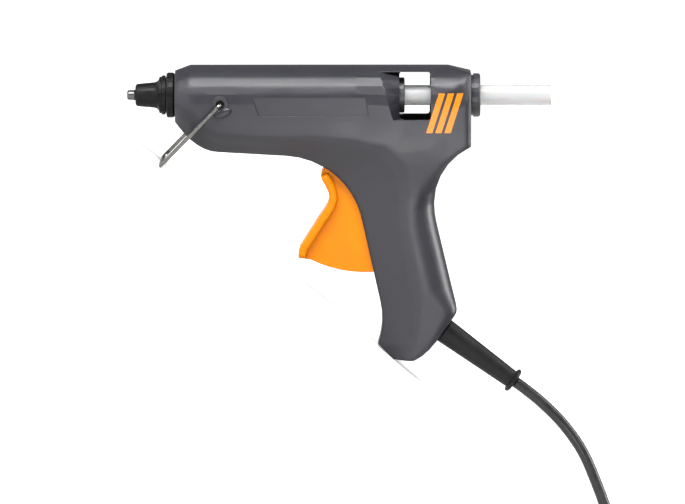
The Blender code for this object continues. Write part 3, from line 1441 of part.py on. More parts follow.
def build_trigger(parent, look, steel):
    pivot = (PIVOT_X, -PIVOT_DEPTH)
    line = trigger_front()
    start = math.atan2(line[0].z + PIVOT_DEPTH, line[0].x - PIVOT_X) % math.tau
    shield = [
        polar(pivot, TRIGGER_SHIELD, SHIELD_START + (start - SHIELD_START) * i / SHIELD_STEPS)
        for i in range(SHIELD_STEPS)
    ]
    tip = line[-1]
    tip_angle = math.atan2(tip.z + PIVOT_DEPTH, tip.x - PIVOT_X) % math.tau
    rear = trigger_rear()
    rear_angle = math.atan2(rear[0][1] + PIVOT_DEPTH, rear[0][0] - PIVOT_X) % math.tau
    bottom = [
        polar(pivot, TRIGGER_BOTTOM_RADIUS, tip_angle + (rear_angle - tip_angle) * (i + 1) / BOTTOM_STEPS)
        for i in range(BOTTOM_STEPS - 1)
    ]
    hub = [polar(pivot, HUB_DIAMETER / 2, angle) for angle in (-math.pi / 6, 0.0, math.pi / 4, math.pi / 2)]
    front = [(point.x, point.z) for point in line]
    outline = [*shield, *front, *bottom, *rear, *hub]
    web = WEB_WIDTH / 2
    trigger = solid("trigger", prism(outline, -web, web), parent, look)
    fuse(trigger, tool("pad_form", build_pad(line), parent))
    pin_x, pin_z = drive_pin_place()
    half = ARM_THICKNESS / 2
    lean = math.pi / 2 - TRIGGER_TRAVEL / 2
    arm = [
        *arc_points((pin_x, pin_z), half, lean + QUARTER, lean - QUARTER, ARM_STEPS),
        polar(pivot, half, lean - math.pi / 2),
        polar(pivot, half, lean + math.pi / 2),
    ]
    fuse(trigger, tool("arm", prism(arm, -ARM_WIDTH / 2, ARM_WIDTH / 2), parent))
    hook = spring_points()[0]
    pin_hole = rod(PIVOT_X, -PIVOT_DEPTH, PIVOT_PIN_DIAMETER / 2 + GAP, -WEB_WIDTH, WEB_WIDTH)
    cut(trigger, tool("pivot_hole", pin_hole, parent))
    holes = merged(
        rod(PIVOT_X, -PIVOT_DEPTH, SPRING_POCKET_DIAMETER / 2, SPRING_FACE, WEB_WIDTH),
        rod(pin_x, pin_z, DRIVE_PIN_DIAMETER / 2 + GAP, -WEB_WIDTH, WEB_WIDTH),
    )
    cut(trigger, tool("spring_pocket", holes, parent))
    hook_hole = rod(hook.x, hook.z, SPRING_WIRE / 2 + GAP, hook.y - GAP, SPRING_FACE + OVERRUN / 2)
    cut(trigger, tool("hook_hole", hook_hole, parent))
    pin = rod(pin_x, pin_z, DRIVE_PIN_DIAMETER / 2, -DRIVE_PIN_LENGTH / 2, DRIVE_PIN_LENGTH / 2)
    solid("drive_pin", pin, parent, steel)


def spring_points():
    # A torsion spring round the trigger's pin: a hook, the turns, and a leg to the rear.
    radius = SPRING_MEAN_DIAMETER / 2
    end = SPRING_LEG_ANGLE - math.pi / 2
    start = end - math.tau * SPRING_TURNS
    first = SPRING_FACE + GAP + SPRING_WIRE / 2
    count = round(SPRING_TURNS * SPRING_LOOP_POINTS)
    turns = []
    for i in range(count + 1):
        x, z = polar((PIVOT_X, -PIVOT_DEPTH), radius, start + (end - start) * i / count)
        turns.append(Vector((x, first + SPRING_PITCH * SPRING_TURNS * i / count, z)))
    back = Vector((math.sin(start), 0.0, -math.cos(start)))
    corner = turns[0] + back * SPRING_HOOK
    hook = corner - Vector((0.0, SPRING_HOOK, 0.0))
    leg = turns[-1] + Vector((math.cos(SPRING_LEG_ANGLE), 0.0, math.sin(SPRING_LEG_ANGLE))) * SPRING_LEG
    bent = filleted([hook, corner, turns[0]], [SPRING_WIRE], 3)
    return [*bent, *turns[1:], leg]


def peg_place():
    # The peg that the spring's leg bears on from below.
    lift = SPRING_WIRE / 2 + GAP + PEG_DIAMETER / 2
    end = polar((PIVOT_X, -PIVOT_DEPTH), SPRING_MEAN_DIAMETER / 2, SPRING_LEG_ANGLE - math.pi / 2)
    along = toward(end, SPRING_LEG * PEG_SHARE, SPRING_LEG_ANGLE)
    return toward(along, lift, SPRING_LEG_ANGLE + math.pi / 2)


def crossbar_place():
    pivot = (STAND_PIVOT_X, -STAND_PIVOT_DEPTH)
    return toward(pivot, STAND_LENGTH, -math.pi + STAND_ANGLE)


def build_stand(parent, look):
    x, z = STAND_PIVOT_X, -STAND_PIVOT_DEPTH
    bar_x, bar_z = crossbar_place()
    crank, width = STAND_CRANK_WIDTH / 2, STAND_WIDTH / 2
    points = [
        (x, -crank, z + STAND_CRANK_LENGTH),
        (x, -crank, z),
        (x, -width, z),
        (bar_x, -width, bar_z),
        (bar_x, width, bar_z),
        (x, width, z),
        (x, crank, z),
        (x, crank, z + STAND_CRANK_LENGTH),
    ]
    radii = [CRANK_BEND, PIVOT_BEND, STAND_BEND, STAND_BEND, PIVOT_BEND, CRANK_BEND]
    tube("wire_stand", filleted(points, radii), STAND_WIRE, parent, look)


def build_relief(parent, look, cord_look):
    root, end = RELIEF_ROOT_DIAMETER / 2, RELIEF_END_DIAMETER / 2
    flange, neck = RELIEF_FLANGE_DIAMETER / 2, RELIEF_NECK_DIAMETER / 2
    bore = CORD_DIAMETER / 2 + CORD_CLEARANCE
    inner = -WALL - GAP
    edge = RELIEF_FLANGE_EDGE
    flange_start = RELIEF_LENGTH - RELIEF_FLANGE_LENGTH
    profile = [
        (inner - RELIEF_INNER_LENGTH, bore),
        (inner - RELIEF_INNER_LENGTH, neck + RELIEF_LIP),
        (inner, neck + RELIEF_LIP),
        (inner, neck),
        (GAP, neck),
        (GAP, root - edge),
        (GAP + edge, root),
        (flange_start, end),
        (flange_start, flange - edge),
        (flange_start + edge / 2, flange),
        (RELIEF_LENGTH - edge, flange),
        (RELIEF_LENGTH - edge / 3, flange - edge / 3),
        (RELIEF_LENGTH, flange - edge),
        (RELIEF_LENGTH, bore),
    ]
    solid("strain_relief", moved(turned(profile), RELIEF_MATRIX), parent, look)
    tail = [
        (-TAIL_LENGTH, 0),
        (-TAIL_LENGTH, CORD_DIAMETER / 2),
        (RELIEF_LENGTH, CORD_DIAMETER / 2),
        (RELIEF_LENGTH, 0),
    ]
    solid("cord_tail", moved(turned(tail, SMALL_SIDES), RELIEF_MATRIX), parent, cord_look)


def build_clamp(parent, look, steel):
    inner = CORD_DIAMETER / 2 + CORD_CLEARANCE
    outer = inner + CLAMP_THICKNESS
    low = GAP - CLAMP_FACE
    high = low + CLAMP_THICKNESS
    inside, outside = math.asin(low / inner), math.asin(high / outer)
    arch_in = [math.pi - inside + (2 * inside - math.pi) * i / ARCH_STEPS for i in range(ARCH_STEPS + 1)]
    arch_out = [outside + (math.pi - 2 * outside) * i / ARCH_STEPS for i in range(ARCH_STEPS + 1)]
    outline = [
        (-CLAMP_SPAN / 2, low),
        *[polar((0.0, 0.0), inner, angle) for angle in arch_in],
        (CLAMP_SPAN / 2, low),
        (CLAMP_SPAN / 2, high),
        *[polar((0.0, 0.0), outer, angle) for angle in arch_out],
        (-CLAMP_SPAN / 2, high),
    ]
    across = Matrix(((0, 1, 0, 0), (0, 0, 1, 0), (1, 0, 0, 0), (0, 0, 0, 1)))
    front = -CLAMP_INSET - CLAMP_WIDTH / 2
    saddle = moved(prism(outline, front, front + CLAMP_WIDTH), RELIEF_MATRIX @ across)
    clamp = solid("cord_clamp", saddle, parent, look)
    holes = [
        rod(at.x, at.z, CLAMP_SCREW_DIAMETER / 2 + GAP, low - OVERRUN, high + OVERRUN / 2)
        for at in clamp_screw_places()
    ]
    cut(clamp, helper("clamp_holes", merged(*holes), parent))
    for number, at in enumerate(clamp_screw_places(), 1):
        screw = bolt(
            at.x,
            at.z,
            clamp_seat(),
            CLAMP_SCREW_LENGTH,
            CLAMP_SCREW_DIAMETER,
            CLAMP_SCREW_HEAD_DIAMETER,
            CLAMP_SCREW_HEAD_LENGTH,
        )
        solid(f"clamp_screw_{number}", screw, parent, steel)


def build_wiring(parent, block_look, lead_look, heater_middle):
    # The terminal block past the cord's end, and the heater's two leads down to it.
    near = -TAIL_LENGTH - GAP
    across, half = TERMINAL_WIDTH / 2, TERMINAL_HEIGHT / 2
    block = box(near - TERMINAL_LENGTH, near, -across, across, -half, half)
    solid("terminal_block", moved(block, RELIEF_MATRIX), parent, block_look)
    along = near - TERMINAL_LENGTH / 2
    face = TERMINAL_HEIGHT / 2 + GAP
    start = POCKET_FRONT + POCKET_LENGTH + GAP
    for side, name in ((-1, "heater_lead_left"), (1, "heater_lead_right")):
        spread = side * LEAD_SPACING / 2
        wide = side * LEAD_ASIDE
        far = side * (LEAD_ASIDE - LEAD_DIAMETER)
        points = [
            (start, spread, heater_middle),
            (start + LEAD_DIAMETER, spread, heater_middle),
            (SCREW_BARREL_X, (spread + wide) / 2, heater_middle - LEAD_DIAMETER),
            (SLEEVE_RIB_X, wide, -LEAD_DEPTH),
            (PIVOT_X, wide, -LEAD_DEPTH - GAP),
            (WINDOW_FRONT, wide, LEAD_PIVOT_RISE - PIVOT_DEPTH),
            (LEAD_NECK_X, far, -WAIST_DEPTH),
            (LEAD_NECK_X, far, -SCREW_HANDLE_DEPTH),
            (SCREW_HANDLE_X - LEAD_DIAMETER, far, -LEAD_TURN_DEPTH),
            on_relief(along, face + LEAD_RISE, side * LEAD_SPREAD),
            on_relief(along, face + LEAD_DIAMETER, spread),
            on_relief(along, face, spread),
        ]
        tube(name, smooth_curve(points, LEAD_STEPS), LEAD_DIAMETER, parent, lead_look, resolution=1)


def build_bolts(parent, steel):
    for number, (x, z) in enumerate(screw_places(), 1):
        sizes = (SCREW_LENGTH, SCREW_SHANK_DIAMETER, SCREW_HEAD_DIAMETER, SCREW_HEAD_LENGTH)
        screw = bolt(x, z, SCREW_SEAT + GAP, *sizes)
        solid(f"housing_screw_{number}", screw, parent, steel)


def stance():
    # The tilt at which the stand's crossbar and the foot's front edge touch the table.
    bar, foot = crossbar_place(), OUTLINE.foot_front
    run, rise = foot[0] - bar[0], bar[1] - foot[1]
    return math.atan2(rise, run) - math.asin(STAND_WIRE / 2 / math.hypot(run, rise))


def on_table(tilt):
    # The matrix that stands the gun on the table, centred over the origin.
    turn = Matrix.Rotation(-tilt, 4, "Y")
    low, high = [], []
    for item in bpy.data.objects:
        if item.type == "EMPTY" or item.hide_render:
            continue
        shift = Vector(item.parent.location) if item.parent.parent else Vector()
        if item.type == "MESH":
            points = [turn @ (vertex.co + shift) for vertex in item.data.vertices]
            margin = 0.0
        else:
            points = [turn @ (Vector(knot.co[:3]) + shift) for knot in item.data.splines[0].points]
            margin = item.data.bevel_depth
        low.append(min(point.x for point in points) - margin)
        high.append(max(point.x for point in points) + margin)
    foot = turn @ Vector((OUTLINE.foot_front[0], 0.0, OUTLINE.foot_front[1]))
    return Matrix.Translation((-(min(low) + max(high)) / 2, 0.0, -foot.z)) @ turn


def hank_outer():
    return HANK_FOLD + HANK_STEP * (1 + HANK_RUN_SHARE / 2)


def hank_path(run):
    # Loops of two straight runs and two folds that spiral in on the table, climb a layer along
    # a run, and spiral out again on top. A waist draws every run in alike and lifts it on the tie.
    share = HANK_RUN_SHARE
    turn_back = 1 + share / 2
    rest = CORD_DIAMETER / 2
    stops = [share * i / RUN_STEPS for i in range(RUN_STEPS)]
    stops += [share + (0.5 - share) * i / FOLD_STEPS for i in range(FOLD_STEPS)]
    stops += [stop + 0.5 for stop in stops]
    count = 2 * len(stops) + RUN_STEPS
    points = []
    for i in range(count + 1):
        within = stops[i % len(stops)]
        turns = i // len(stops) + within
        radius = HANK_FOLD + HANK_STEP * abs(turns - turn_back)
        climb = min(max((turns - turn_back) / share + 0.5, 0.0), 1.0)
        height = rest + HANK_LAYER * climb * climb * (3 - 2 * climb)
        half = 1 if within < 0.5 else -1
        within %= 0.5
        if within <= share:
            x = half * run * (within / share - 0.5)
            neck = (1 + math.cos(math.tau * x / run)) / 2
            points.append(Vector((x, -half * (radius - HANK_WAIST * neck), height + TIE_LIFT * neck)))
        else:
            angle = math.pi * (within - share) / (0.5 - share) - math.pi / 2
            point = (run / 2 + radius * math.cos(angle), radius * math.sin(angle))
            points.append(Vector((half * point[0], half * point[1], height)))
    return points


def hank_end(run):
    # The cord's end: round the fold on top of the loops, and in towards the plug that lies on them.
    radius = hank_outer()
    level = CORD_DIAMETER / 2 + HANK_LAYER
    points = []
    for i in range(1, FOLD_STEPS + 1):
        share = i / FOLD_STEPS
        angle = math.pi * share - math.pi / 2
        rise = HANK_LAYER * share * share * (3 - 2 * share)
        points.append(Vector((run / 2 + radius * math.cos(angle), radius * math.sin(angle), level + rise)))
    begin, goal = points[-1], plug_place(run)
    entry = goal + Vector((CORD_DIAMETER + GAP, 0.0, 0.0))
    for i in range(1, RUN_STEPS + 1):
        share = i / RUN_STEPS
        ease = (1 - math.cos(math.pi * share)) / 2
        points.append(
            Vector(
                (
                    begin.x + (entry.x - begin.x) * share,
                    begin.y + (entry.y - begin.y) * ease,
                    begin.z + (entry.z - begin.z) * ease,
                )
            )
        )
    points.append(goal + Vector((GAP, 0.0, 0.0)))
    return points


def plug_place(run):
    # The middle of the plug's cord end: it lies on the tie, flat over the loops.
    top = CORD_DIAMETER + HANK_LAYER + TIE_LIFT + TIE_THICKNESS + 2 * GAP
    return Vector((run / 2 - PLUG_SETBACK, PLUG_ASIDE, top + PLUG_HEIGHT / 2))


def build_plug(matrix, look, pin_look):
    loops = []
    for along, wide, tall in PLUG_SHARES:
        across, up = PLUG_WIDTH * wide, PLUG_HEIGHT * tall
        corner = min(across, up) * PLUG_CORNER_SHARE
        loops.append([matrix @ Vector((-PLUG_LENGTH * along, a, b)) for a, b in section(across, up, corner)])
    place("plug", mesh_from(lofted(loops), "plug"), None, look)
    for number, side in enumerate((-1, 1), 1):
        radius = PLUG_PIN_DIAMETER / 2
        start = -PLUG_LENGTH - GAP
        profile = [
            (start, 0),
            (start, radius),
            *arc_points((start - PLUG_PIN_LENGTH + radius, 0), radius, QUARTER, math.pi, PIN_STEPS),
        ]
        aside = Matrix.Translation((0.0, side * PLUG_PIN_SPACING / 2, 0.0))
        pin = moved(turned(profile, SMALL_SIDES), matrix @ aside)
        place(f"plug_pin_{number}", mesh_from(pin, "pin"), None, pin_look)


def build_tie(matrix, look):
    # A flat band round the hank's waist.
    outer = HANK_FOLD + HANK_STEP - HANK_WAIST
    inner_y = outer + CORD_DIAMETER / 2 + TIE_SLACK
    low = TIE_LIFT - TIE_CLEARANCE
    high = CORD_DIAMETER + HANK_LAYER + TIE_LIFT + GAP
    middle = (low + high) / 2
    rings = []
    for x, grow in ((-1, 0.0), (-1, 1.0), (1, 1.0), (1, 0.0)):
        extra = 2 * TIE_THICKNESS * grow
        loop = section(2 * inner_y + extra, high - low + extra, TIE_CORNER + extra / 2)
        rings.append([matrix @ Vector((x * TIE_WIDTH / 2, a, middle + b)) for a, b in loop])
    bm = bmesh.new()
    verts = [[bm.verts.new(point) for point in ring] for ring in rings]
    for one, two in zip(verts, verts[1:] + verts[:1]):
        for i in range(len(one)):
            k = (i + 1) % len(one)
            bm.faces.new((one[i], one[k], two[k], two[i]))
    place("cord_tie", mesh_from(bm, "cord_tie"), None, look)


def least_gap(points, diameter):
    # The least distance between a tube's surface and itself, off its own neighbourhood.
    line = np.array([tuple(point) for point in points])
    steps = np.linalg.norm(np.diff(line, axis=0), axis=1)
    run = np.concatenate([[0.0], np.cumsum(steps)])
    at = np.arange(0.0, run[-1], diameter * GAP_STEP_SHARE)
    dense = np.stack([np.interp(at, run, line[:, k]) for k in range(3)], axis=1)
    apart = np.linalg.norm(dense[:, None] - dense[None], axis=2)
    far = np.abs(at[:, None] - at[None]) > diameter * GAP_NEAR_SHARE
    return float(apart[far].min()) - diameter


def build_cord(table, tilt, looks):
    leave = table @ on_relief(RELIEF_LENGTH + GAP)
    rise = tilt - CORD_ANGLE
    outer = hank_outer()
    entry = Vector((leave.x + CORD_REACH, -outer, CORD_DIAMETER / 2))
    route = [leave, leave + Vector((math.cos(rise), 0.0, math.sin(rise))) * CORD_DIAMETER]
    for along, drop, aside in CORD_ROUTE_SHARES:
        route.append(
            Vector(
                (
                    leave.x + CORD_REACH * along,
                    entry.y * aside,
                    leave.z + (entry.z - leave.z) * drop,
                )
            )
        )
    free = smooth_curve([*route, entry - Vector((CORD_DIAMETER, 0.0, 0.0)), entry], ROUTE_STEPS)
    count = round(length_of(free) / (CORD_POINT_SPACING * CORD_DIAMETER))
    free = resampled(free, [i / count for i in range(count + 1)])
    tube("cord", free, CORD_DIAMETER, None, looks["cord"])
    away = CORD_LENGTH - length_of(free)
    turns = 2 + HANK_RUN_SHARE
    folds = math.tau * (HANK_FOLD + HANK_STEP / 2)
    run = away / (2 * turns) - folds / 2
    for _ in range(HANK_ROUNDS):
        path = [*hank_path(run), *hank_end(run)]
        run += (away - length_of(path)) / (2 * turns)
    path = [*hank_path(run), *hank_end(run)]
    centre = Matrix.Translation((entry.x + GAP + CORD_DIAMETER + run / 2, 0.0, 0.0))
    path = [path[0] - Vector((CORD_DIAMETER, 0.0, 0.0)), *path]
    tube("cord_hank", [centre @ point for point in path], CORD_DIAMETER, None, looks["cord"], resolution=1)
    build_tie(centre, looks["tie"])
    build_plug(centre @ Matrix.Translation(plug_place(run)), looks["plug"], looks["steel"])
    total = length_of(free) + length_of(path)
    gap = least_gap(path, CORD_DIAMETER)
    print("cord free:", length_of(free), "run:", run, "total:", total, "gap:", gap)


def main():
    clear_scene()
    looks = {
        "housing": material("housing_plastic", (0.085, 0.085, 0.095), 0.42),
        "trigger": material("trigger_plastic", (0.85, 0.22, 0.02), 0.35),
        "boot": material("boot_rubber", (0.012, 0.012, 0.013), 0.75),
        "nozzle": material("nozzle_metal", (0.62, 0.60, 0.57), 0.30, 1.0),
        "aluminium": material("chamber_aluminium", (0.70, 0.70, 0.71), 0.40, 1.0),
        "steel": material("pin_steel", (0.55, 0.55, 0.56), 0.30, 1.0),
        "wire": material("stand_wire", (0.58, 0.58, 0.59), 0.28, 1.0),
        "stick": material("glue", (0.80, 0.80, 0.76), 0.35),
        "sleeve": material("sleeve_rubber", (0.55, 0.12, 0.06), 0.70),
        "carriage": material("carriage_plastic", (0.045, 0.045, 0.05), 0.45),
        "collar": material("collar_plastic", (0.03, 0.03, 0.034), 0.40),
        "heater": material("heater_ceramic", (0.75, 0.72, 0.66), 0.55),
        "relief": material("relief_rubber", (0.018, 0.018, 0.02), 0.60),
        "cord": material("cord_rubber", (0.015, 0.015, 0.017), 0.55),
        "lead": material("lead_sleeve", (0.80, 0.78, 0.72), 0.60),
        "terminal": material("terminal_plastic", (0.70, 0.70, 0.68), 0.45),
        "tie": material("tie_plastic", (0.02, 0.02, 0.02), 0.50),
        "plug": material("plug_rubber", (0.016, 0.016, 0.018), 0.50),
    }
    gun = bpy.data.objects.new("gun", None)
    bpy.context.collection.objects.link(gun)
    trigger_axis = axis_empty("trigger_axis", PIVOT_X, -PIVOT_DEPTH, gun)
    jaw_axis = axis_empty("jaw_axis", JAW_PIN_X, -JAW_PIN_DEPTH, gun)
    stand_axis = axis_empty("stand_axis", STAND_PIVOT_X, -STAND_PIVOT_DEPTH, gun)
    build_housing("housing_left", -1, gun, looks["housing"])
    build_housing("housing_right", 1, gun, looks["housing"])
    heater_middle, heater = build_melt_tube(gun, looks["aluminium"])
    solid("heater_element", heater, gun, looks["heater"])
    build_nozzle(gun, looks["nozzle"])
    build_boot(gun, looks["boot"])
    build_sleeve(gun, looks["sleeve"])
    build_collar(gun, looks["collar"])
    build_stick(gun, looks["stick"])
    build_carriage(gun, jaw_axis, looks["carriage"], looks["steel"], looks["steel"])
    build_trigger(trigger_axis, looks["trigger"], looks["steel"])
    half_pin = PIVOT_PIN_LENGTH / 2
    pin = rod(PIVOT_X, -PIVOT_DEPTH, PIVOT_PIN_DIAMETER / 2, -half_pin, half_pin)
    solid("trigger_pin", pin, gun, looks["steel"])
    spring = spring_points()
    tube("return_spring", spring, SPRING_WIRE, gun, looks["steel"], resolution=1)
    print("spring gap:", least_gap(spring, SPRING_WIRE))
    build_stand(stand_axis, looks["wire"])
    build_relief(gun, looks["relief"], looks["cord"])
    build_clamp(gun, looks["terminal"], looks["steel"])
    build_wiring(gun, looks["terminal"], looks["lead"], heater_middle)
    build_bolts(gun, looks["steel"])
    tilt = stance()
    table = on_table(tilt)
    gun.location = table.to_translation()
    gun.rotation_euler = (0.0, -tilt, 0.0)
    print("tilt:", math.degrees(tilt), "offset:", tuple(table.to_translation()))
    build_cord(table, tilt, looks)


main()
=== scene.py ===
import math
import json
import numpy as np
import bpy
from mathutils import Matrix, Vector


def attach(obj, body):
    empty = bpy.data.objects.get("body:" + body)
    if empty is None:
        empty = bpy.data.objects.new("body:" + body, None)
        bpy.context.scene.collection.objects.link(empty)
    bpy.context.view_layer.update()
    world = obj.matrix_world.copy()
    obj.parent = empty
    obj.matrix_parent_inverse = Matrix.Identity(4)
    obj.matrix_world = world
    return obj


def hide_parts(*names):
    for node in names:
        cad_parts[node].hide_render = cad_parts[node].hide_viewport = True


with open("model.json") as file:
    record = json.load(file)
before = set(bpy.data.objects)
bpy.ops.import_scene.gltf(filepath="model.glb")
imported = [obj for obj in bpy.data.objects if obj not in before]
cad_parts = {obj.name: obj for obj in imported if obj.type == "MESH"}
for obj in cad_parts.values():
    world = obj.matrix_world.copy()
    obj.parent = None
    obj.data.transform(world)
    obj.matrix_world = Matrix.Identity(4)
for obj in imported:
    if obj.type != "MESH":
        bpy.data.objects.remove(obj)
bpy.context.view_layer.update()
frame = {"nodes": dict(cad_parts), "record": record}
nodes = frame["nodes"]
joints = {joint["name"]: joint for joint in frame["record"]["behaviour"]["joints"]}

# the applicator's own axes: x from the housing's front face to its rear, z up from the stick
gunSettings = {"standPivot": (0.0251, -0.0033), "triggerPivot": (0.104, -0.030)}


def gunMatrix():
    # two known pivots give the turn and the shift from the applicator's axes to the table's
    a, b = (np.array(gunSettings[key]) for key in ("standPivot", "triggerPivot"))
    p, q = (np.array(joints[key]["pos_m"])[[0, 2]] for key in ("stand_swing", "trigger_pull"))
    turn = math.atan2(*(q - p)[::-1]) - math.atan2(*(b - a)[::-1])
    cos, sin = math.cos(turn), math.sin(turn)
    shift = p - np.array((a[0] * cos - a[1] * sin, a[0] * sin + a[1] * cos))
    return turn, Matrix(((cos, 0, -sin, shift[0]), (0, 1, 0, 0), (sin, 0, cos, shift[1]), (0, 0, 0, 1)))


gunTilt, gun = gunMatrix()
print("applicator stands tilted by", round(math.degrees(gunTilt), 3))

# camera
cameraSettings = {"aim": (0.0917, 0.0, -0.0867), "distance": 3.0, "elevation": 7.0, "width": 0.3768}


def makeCamera():
    data = bpy.data.cameras.new("camera")
    camera = bpy.data.objects.new("camera", data)
    bpy.context.scene.collection.objects.link(camera)
    lift = math.radians(cameraSettings["elevation"])
    away = Vector((0, -math.cos(lift), math.sin(lift))) * cameraSettings["distance"]
    camera.matrix_world = (
        gun @ Matrix.Translation(Vector(cameraSettings["aim"]) + away) @ Matrix.Rotation(math.pi / 2 - lift, 4, "X")
    )
    data.sensor_width = 36
    data.lens = 36 * cameraSettings["distance"] / cameraSettings["width"]
    data.clip_end = 50  # the floor's far edge
    bpy.context.scene.camera = camera


makeCamera()
print("camera placed")

# mains cord: free stretch, then a hank of two layers, its end round the fold into the plug
cordSettings = {
    "exit": (0.13339, 0.0, 0.0328),
    "rise": math.radians(3.855),
    "reach": 0.118,
    "diameter": 0.0062,
    "length": 1.2,
    # points of the free stretch, each as its share of the reach, of the drop and of the way aside
    "shares": (
        (0.16, -0.02, 0.0),
        (0.3, 0.03, 0.03),
        (0.45, 0.18, 0.18),
        (0.6, 0.47, 0.45),
        (0.75, 0.8, 0.75),
        (0.87, 0.97, 0.94),
    ),
    "fold": 0.0192,
    "step": 0.0073,
    "layer": 0.0069,
    "waist": 0.012,
    "runShare": 0.32,
    "tieLift": 0.0012,
    "run": 0.12742,
    "centre": 0.32160,
    "plugEntry": (-0.0477, 0.014, 0.02255),  # from the hank's fold centre on the plug's side, height from the table
}


def throughPoints(points, steps):
    # p(t) = (2b + (c-a)t + (2a-5b+4c-d)t^2 + (3b-a-3c+d)t^3) / 2 between b and c, with a and d their neighbours
    k = np.array(points, float)
    k = np.vstack([2 * k[0] - k[1], k, 2 * k[-1] - k[-2]])
    a, b, c, d = (k[i : len(k) - 3 + i, None] for i in range(4))
    t = (np.arange(steps) / steps)[None, :, None]
    line = (2 * b + (c - a) * t + (2 * a - 5 * b + 4 * c - d) * t**2 + (3 * b - a - 3 * c + d) * t**3) / 2
    return np.vstack([line.reshape(-1, 3), k[-2]])


def freeStretch(s):
    leave = np.array(s["exit"])
    outer = s["fold"] + s["step"] * (1 + s["runShare"] / 2)
    entry = np.array((leave[0] + s["reach"], -outer, s["diameter"] / 2))
    ahead = np.array((math.cos(s["rise"]), 0, math.sin(s["rise"]))) * s["diameter"]
    along, drop, aside = np.array(s["shares"]).T
    middle = np.stack([leave[0] + s["reach"] * along, entry[1] * aside, leave[2] + (entry[2] - leave[2]) * drop], 1)
    back = np.array((s["diameter"], 0, 0))
    return throughPoints(np.vstack([leave, leave + ahead, middle, entry - back, entry]), 5)


def hankLoops(s, perRun=9, perFold=11):
    # a loop is run, fold, run, fold; radius = fold + step * |turns - middle|, height climbs one layer at the middle
    share, run = s["runShare"], s["run"]
    half = np.concatenate([share * np.arange(perRun) / perRun, share + (0.5 - share) * np.arange(perFold) / perFold])
    stops = np.concatenate([half, half + 0.5])
    index = np.arange(2 * len(stops) + perRun + 1)
    within = stops[index % len(stops)]
    turns = index // len(stops) + within
    radius = s["fold"] + s["step"] * np.abs(turns - 1 - share / 2)
    climb = np.clip((turns - 1 - share / 2) / share + 0.5, 0, 1)
    height = s["diameter"] / 2 + s["layer"] * climb * climb * (3 - 2 * climb)
    side = np.where(within < 0.5, 1, -1)
    part = within % 0.5
    alongRun = side * run * (part / share - 0.5)
    neck = (1 + np.cos(math.tau * alongRun / run)) / 2
    angle = math.pi * (part - share) / (0.5 - share) - math.pi / 2
    onRun = np.stack([alongRun, -side * (radius - s["waist"] * neck), height + s["tieLift"] * neck], 1)
    onFold = np.stack([side * (run / 2 + radius * np.cos(angle)), side * radius * np.sin(angle), height], 1)
    return np.where((part <= share)[:, None], onRun, onFold)


def hankEnd(s, perFold=12, perRun=10):
    # half a circle on top of the loops, rising a layer, then an eased slant (1 - cos) / 2 to the plug
    radius, level = s["fold"] + s["step"] * (1 + s["runShare"] / 2), s["diameter"] / 2 + s["layer"]
    share = np.arange(1, perFold + 1) / perFold
    angle = math.pi * share - math.pi / 2
    rise = level + s["layer"] * share * share * (3 - 2 * share)
    fold = np.stack([s["run"] / 2 + radius * np.cos(angle), radius * np.sin(angle), rise], 1)
    plug = np.array((s["run"] / 2, 0, 0)) + s["plugEntry"]
    entry = plug + np.array((s["diameter"], 0, 0))
    share = np.arange(1, perRun + 1)[:, None] / perRun
    ease = np.hstack([share, (1 - np.cos(math.pi * share)) / 2, (1 - np.cos(math.pi * share)) / 2])
    return np.vstack([fold, fold[-1] + (entry - fold[-1]) * ease, plug])


def gridMesh(name, rings, body):
    # rings is (n, m, 3): quads join each ring to the next, and a fan closes each end at its middle point
    n, m = rings.shape[:2]
    index = np.arange(n * m).reshape(n, m)
    nxt = np.roll(index, -1, 1)
    quads = np.stack([index[:-1], nxt[:-1], nxt[1:], index[1:]], -1).reshape(-1, 4)
    first, last = n * m, n * m + 1
    fans = [np.stack([np.full(m, first), nxt[0], index[0]], 1), np.stack([np.full(m, last), index[-1], nxt[-1]], 1)]
    verts = np.vstack([rings.reshape(-1, 3), rings[0].mean(0), rings[-1].mean(0)])
    mesh = bpy.data.meshes.new(name)
    mesh.from_pydata(verts, [], quads.tolist() + np.vstack(fans).tolist())
    mesh.polygons.foreach_set("use_smooth", [True] * len(quads) + [False] * (2 * m))
    mesh.update()
    piece = bpy.data.objects.new(name, mesh)
    bpy.context.scene.collection.objects.link(piece)
    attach(piece, body)
    return piece


def tubeRings(points, radius, sides=20):
    # ring = p + radius * (cos a * side + sin a * up), with side = z x t and up = t x side for the path's tangent t
    t = np.gradient(points, axis=0)
    t /= np.linalg.norm(t, axis=1)[:, None]
    side = np.cross((0, 0, 1), t)
    side /= np.linalg.norm(side, axis=1)[:, None]
    up = np.cross(t, side)
    a = math.tau * np.arange(sides) / sides
    across = np.cos(a)[None, :, None] * side[:, None] + np.sin(a)[None, :, None] * up[:, None]
    return points[:, None] + radius * across


def makeCord(s):
    hank = np.vstack([hankLoops(s), hankEnd(s)]) + np.array((s["centre"], 0, 0))
    points = np.vstack([freeStretch(s), hank])
    cord = gridMesh("powerCord", tubeRings(points, s["diameter"] / 2), "housing")
    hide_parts("cord", "cord_hank")


makeCord(cordSettings)
print("cord laid")


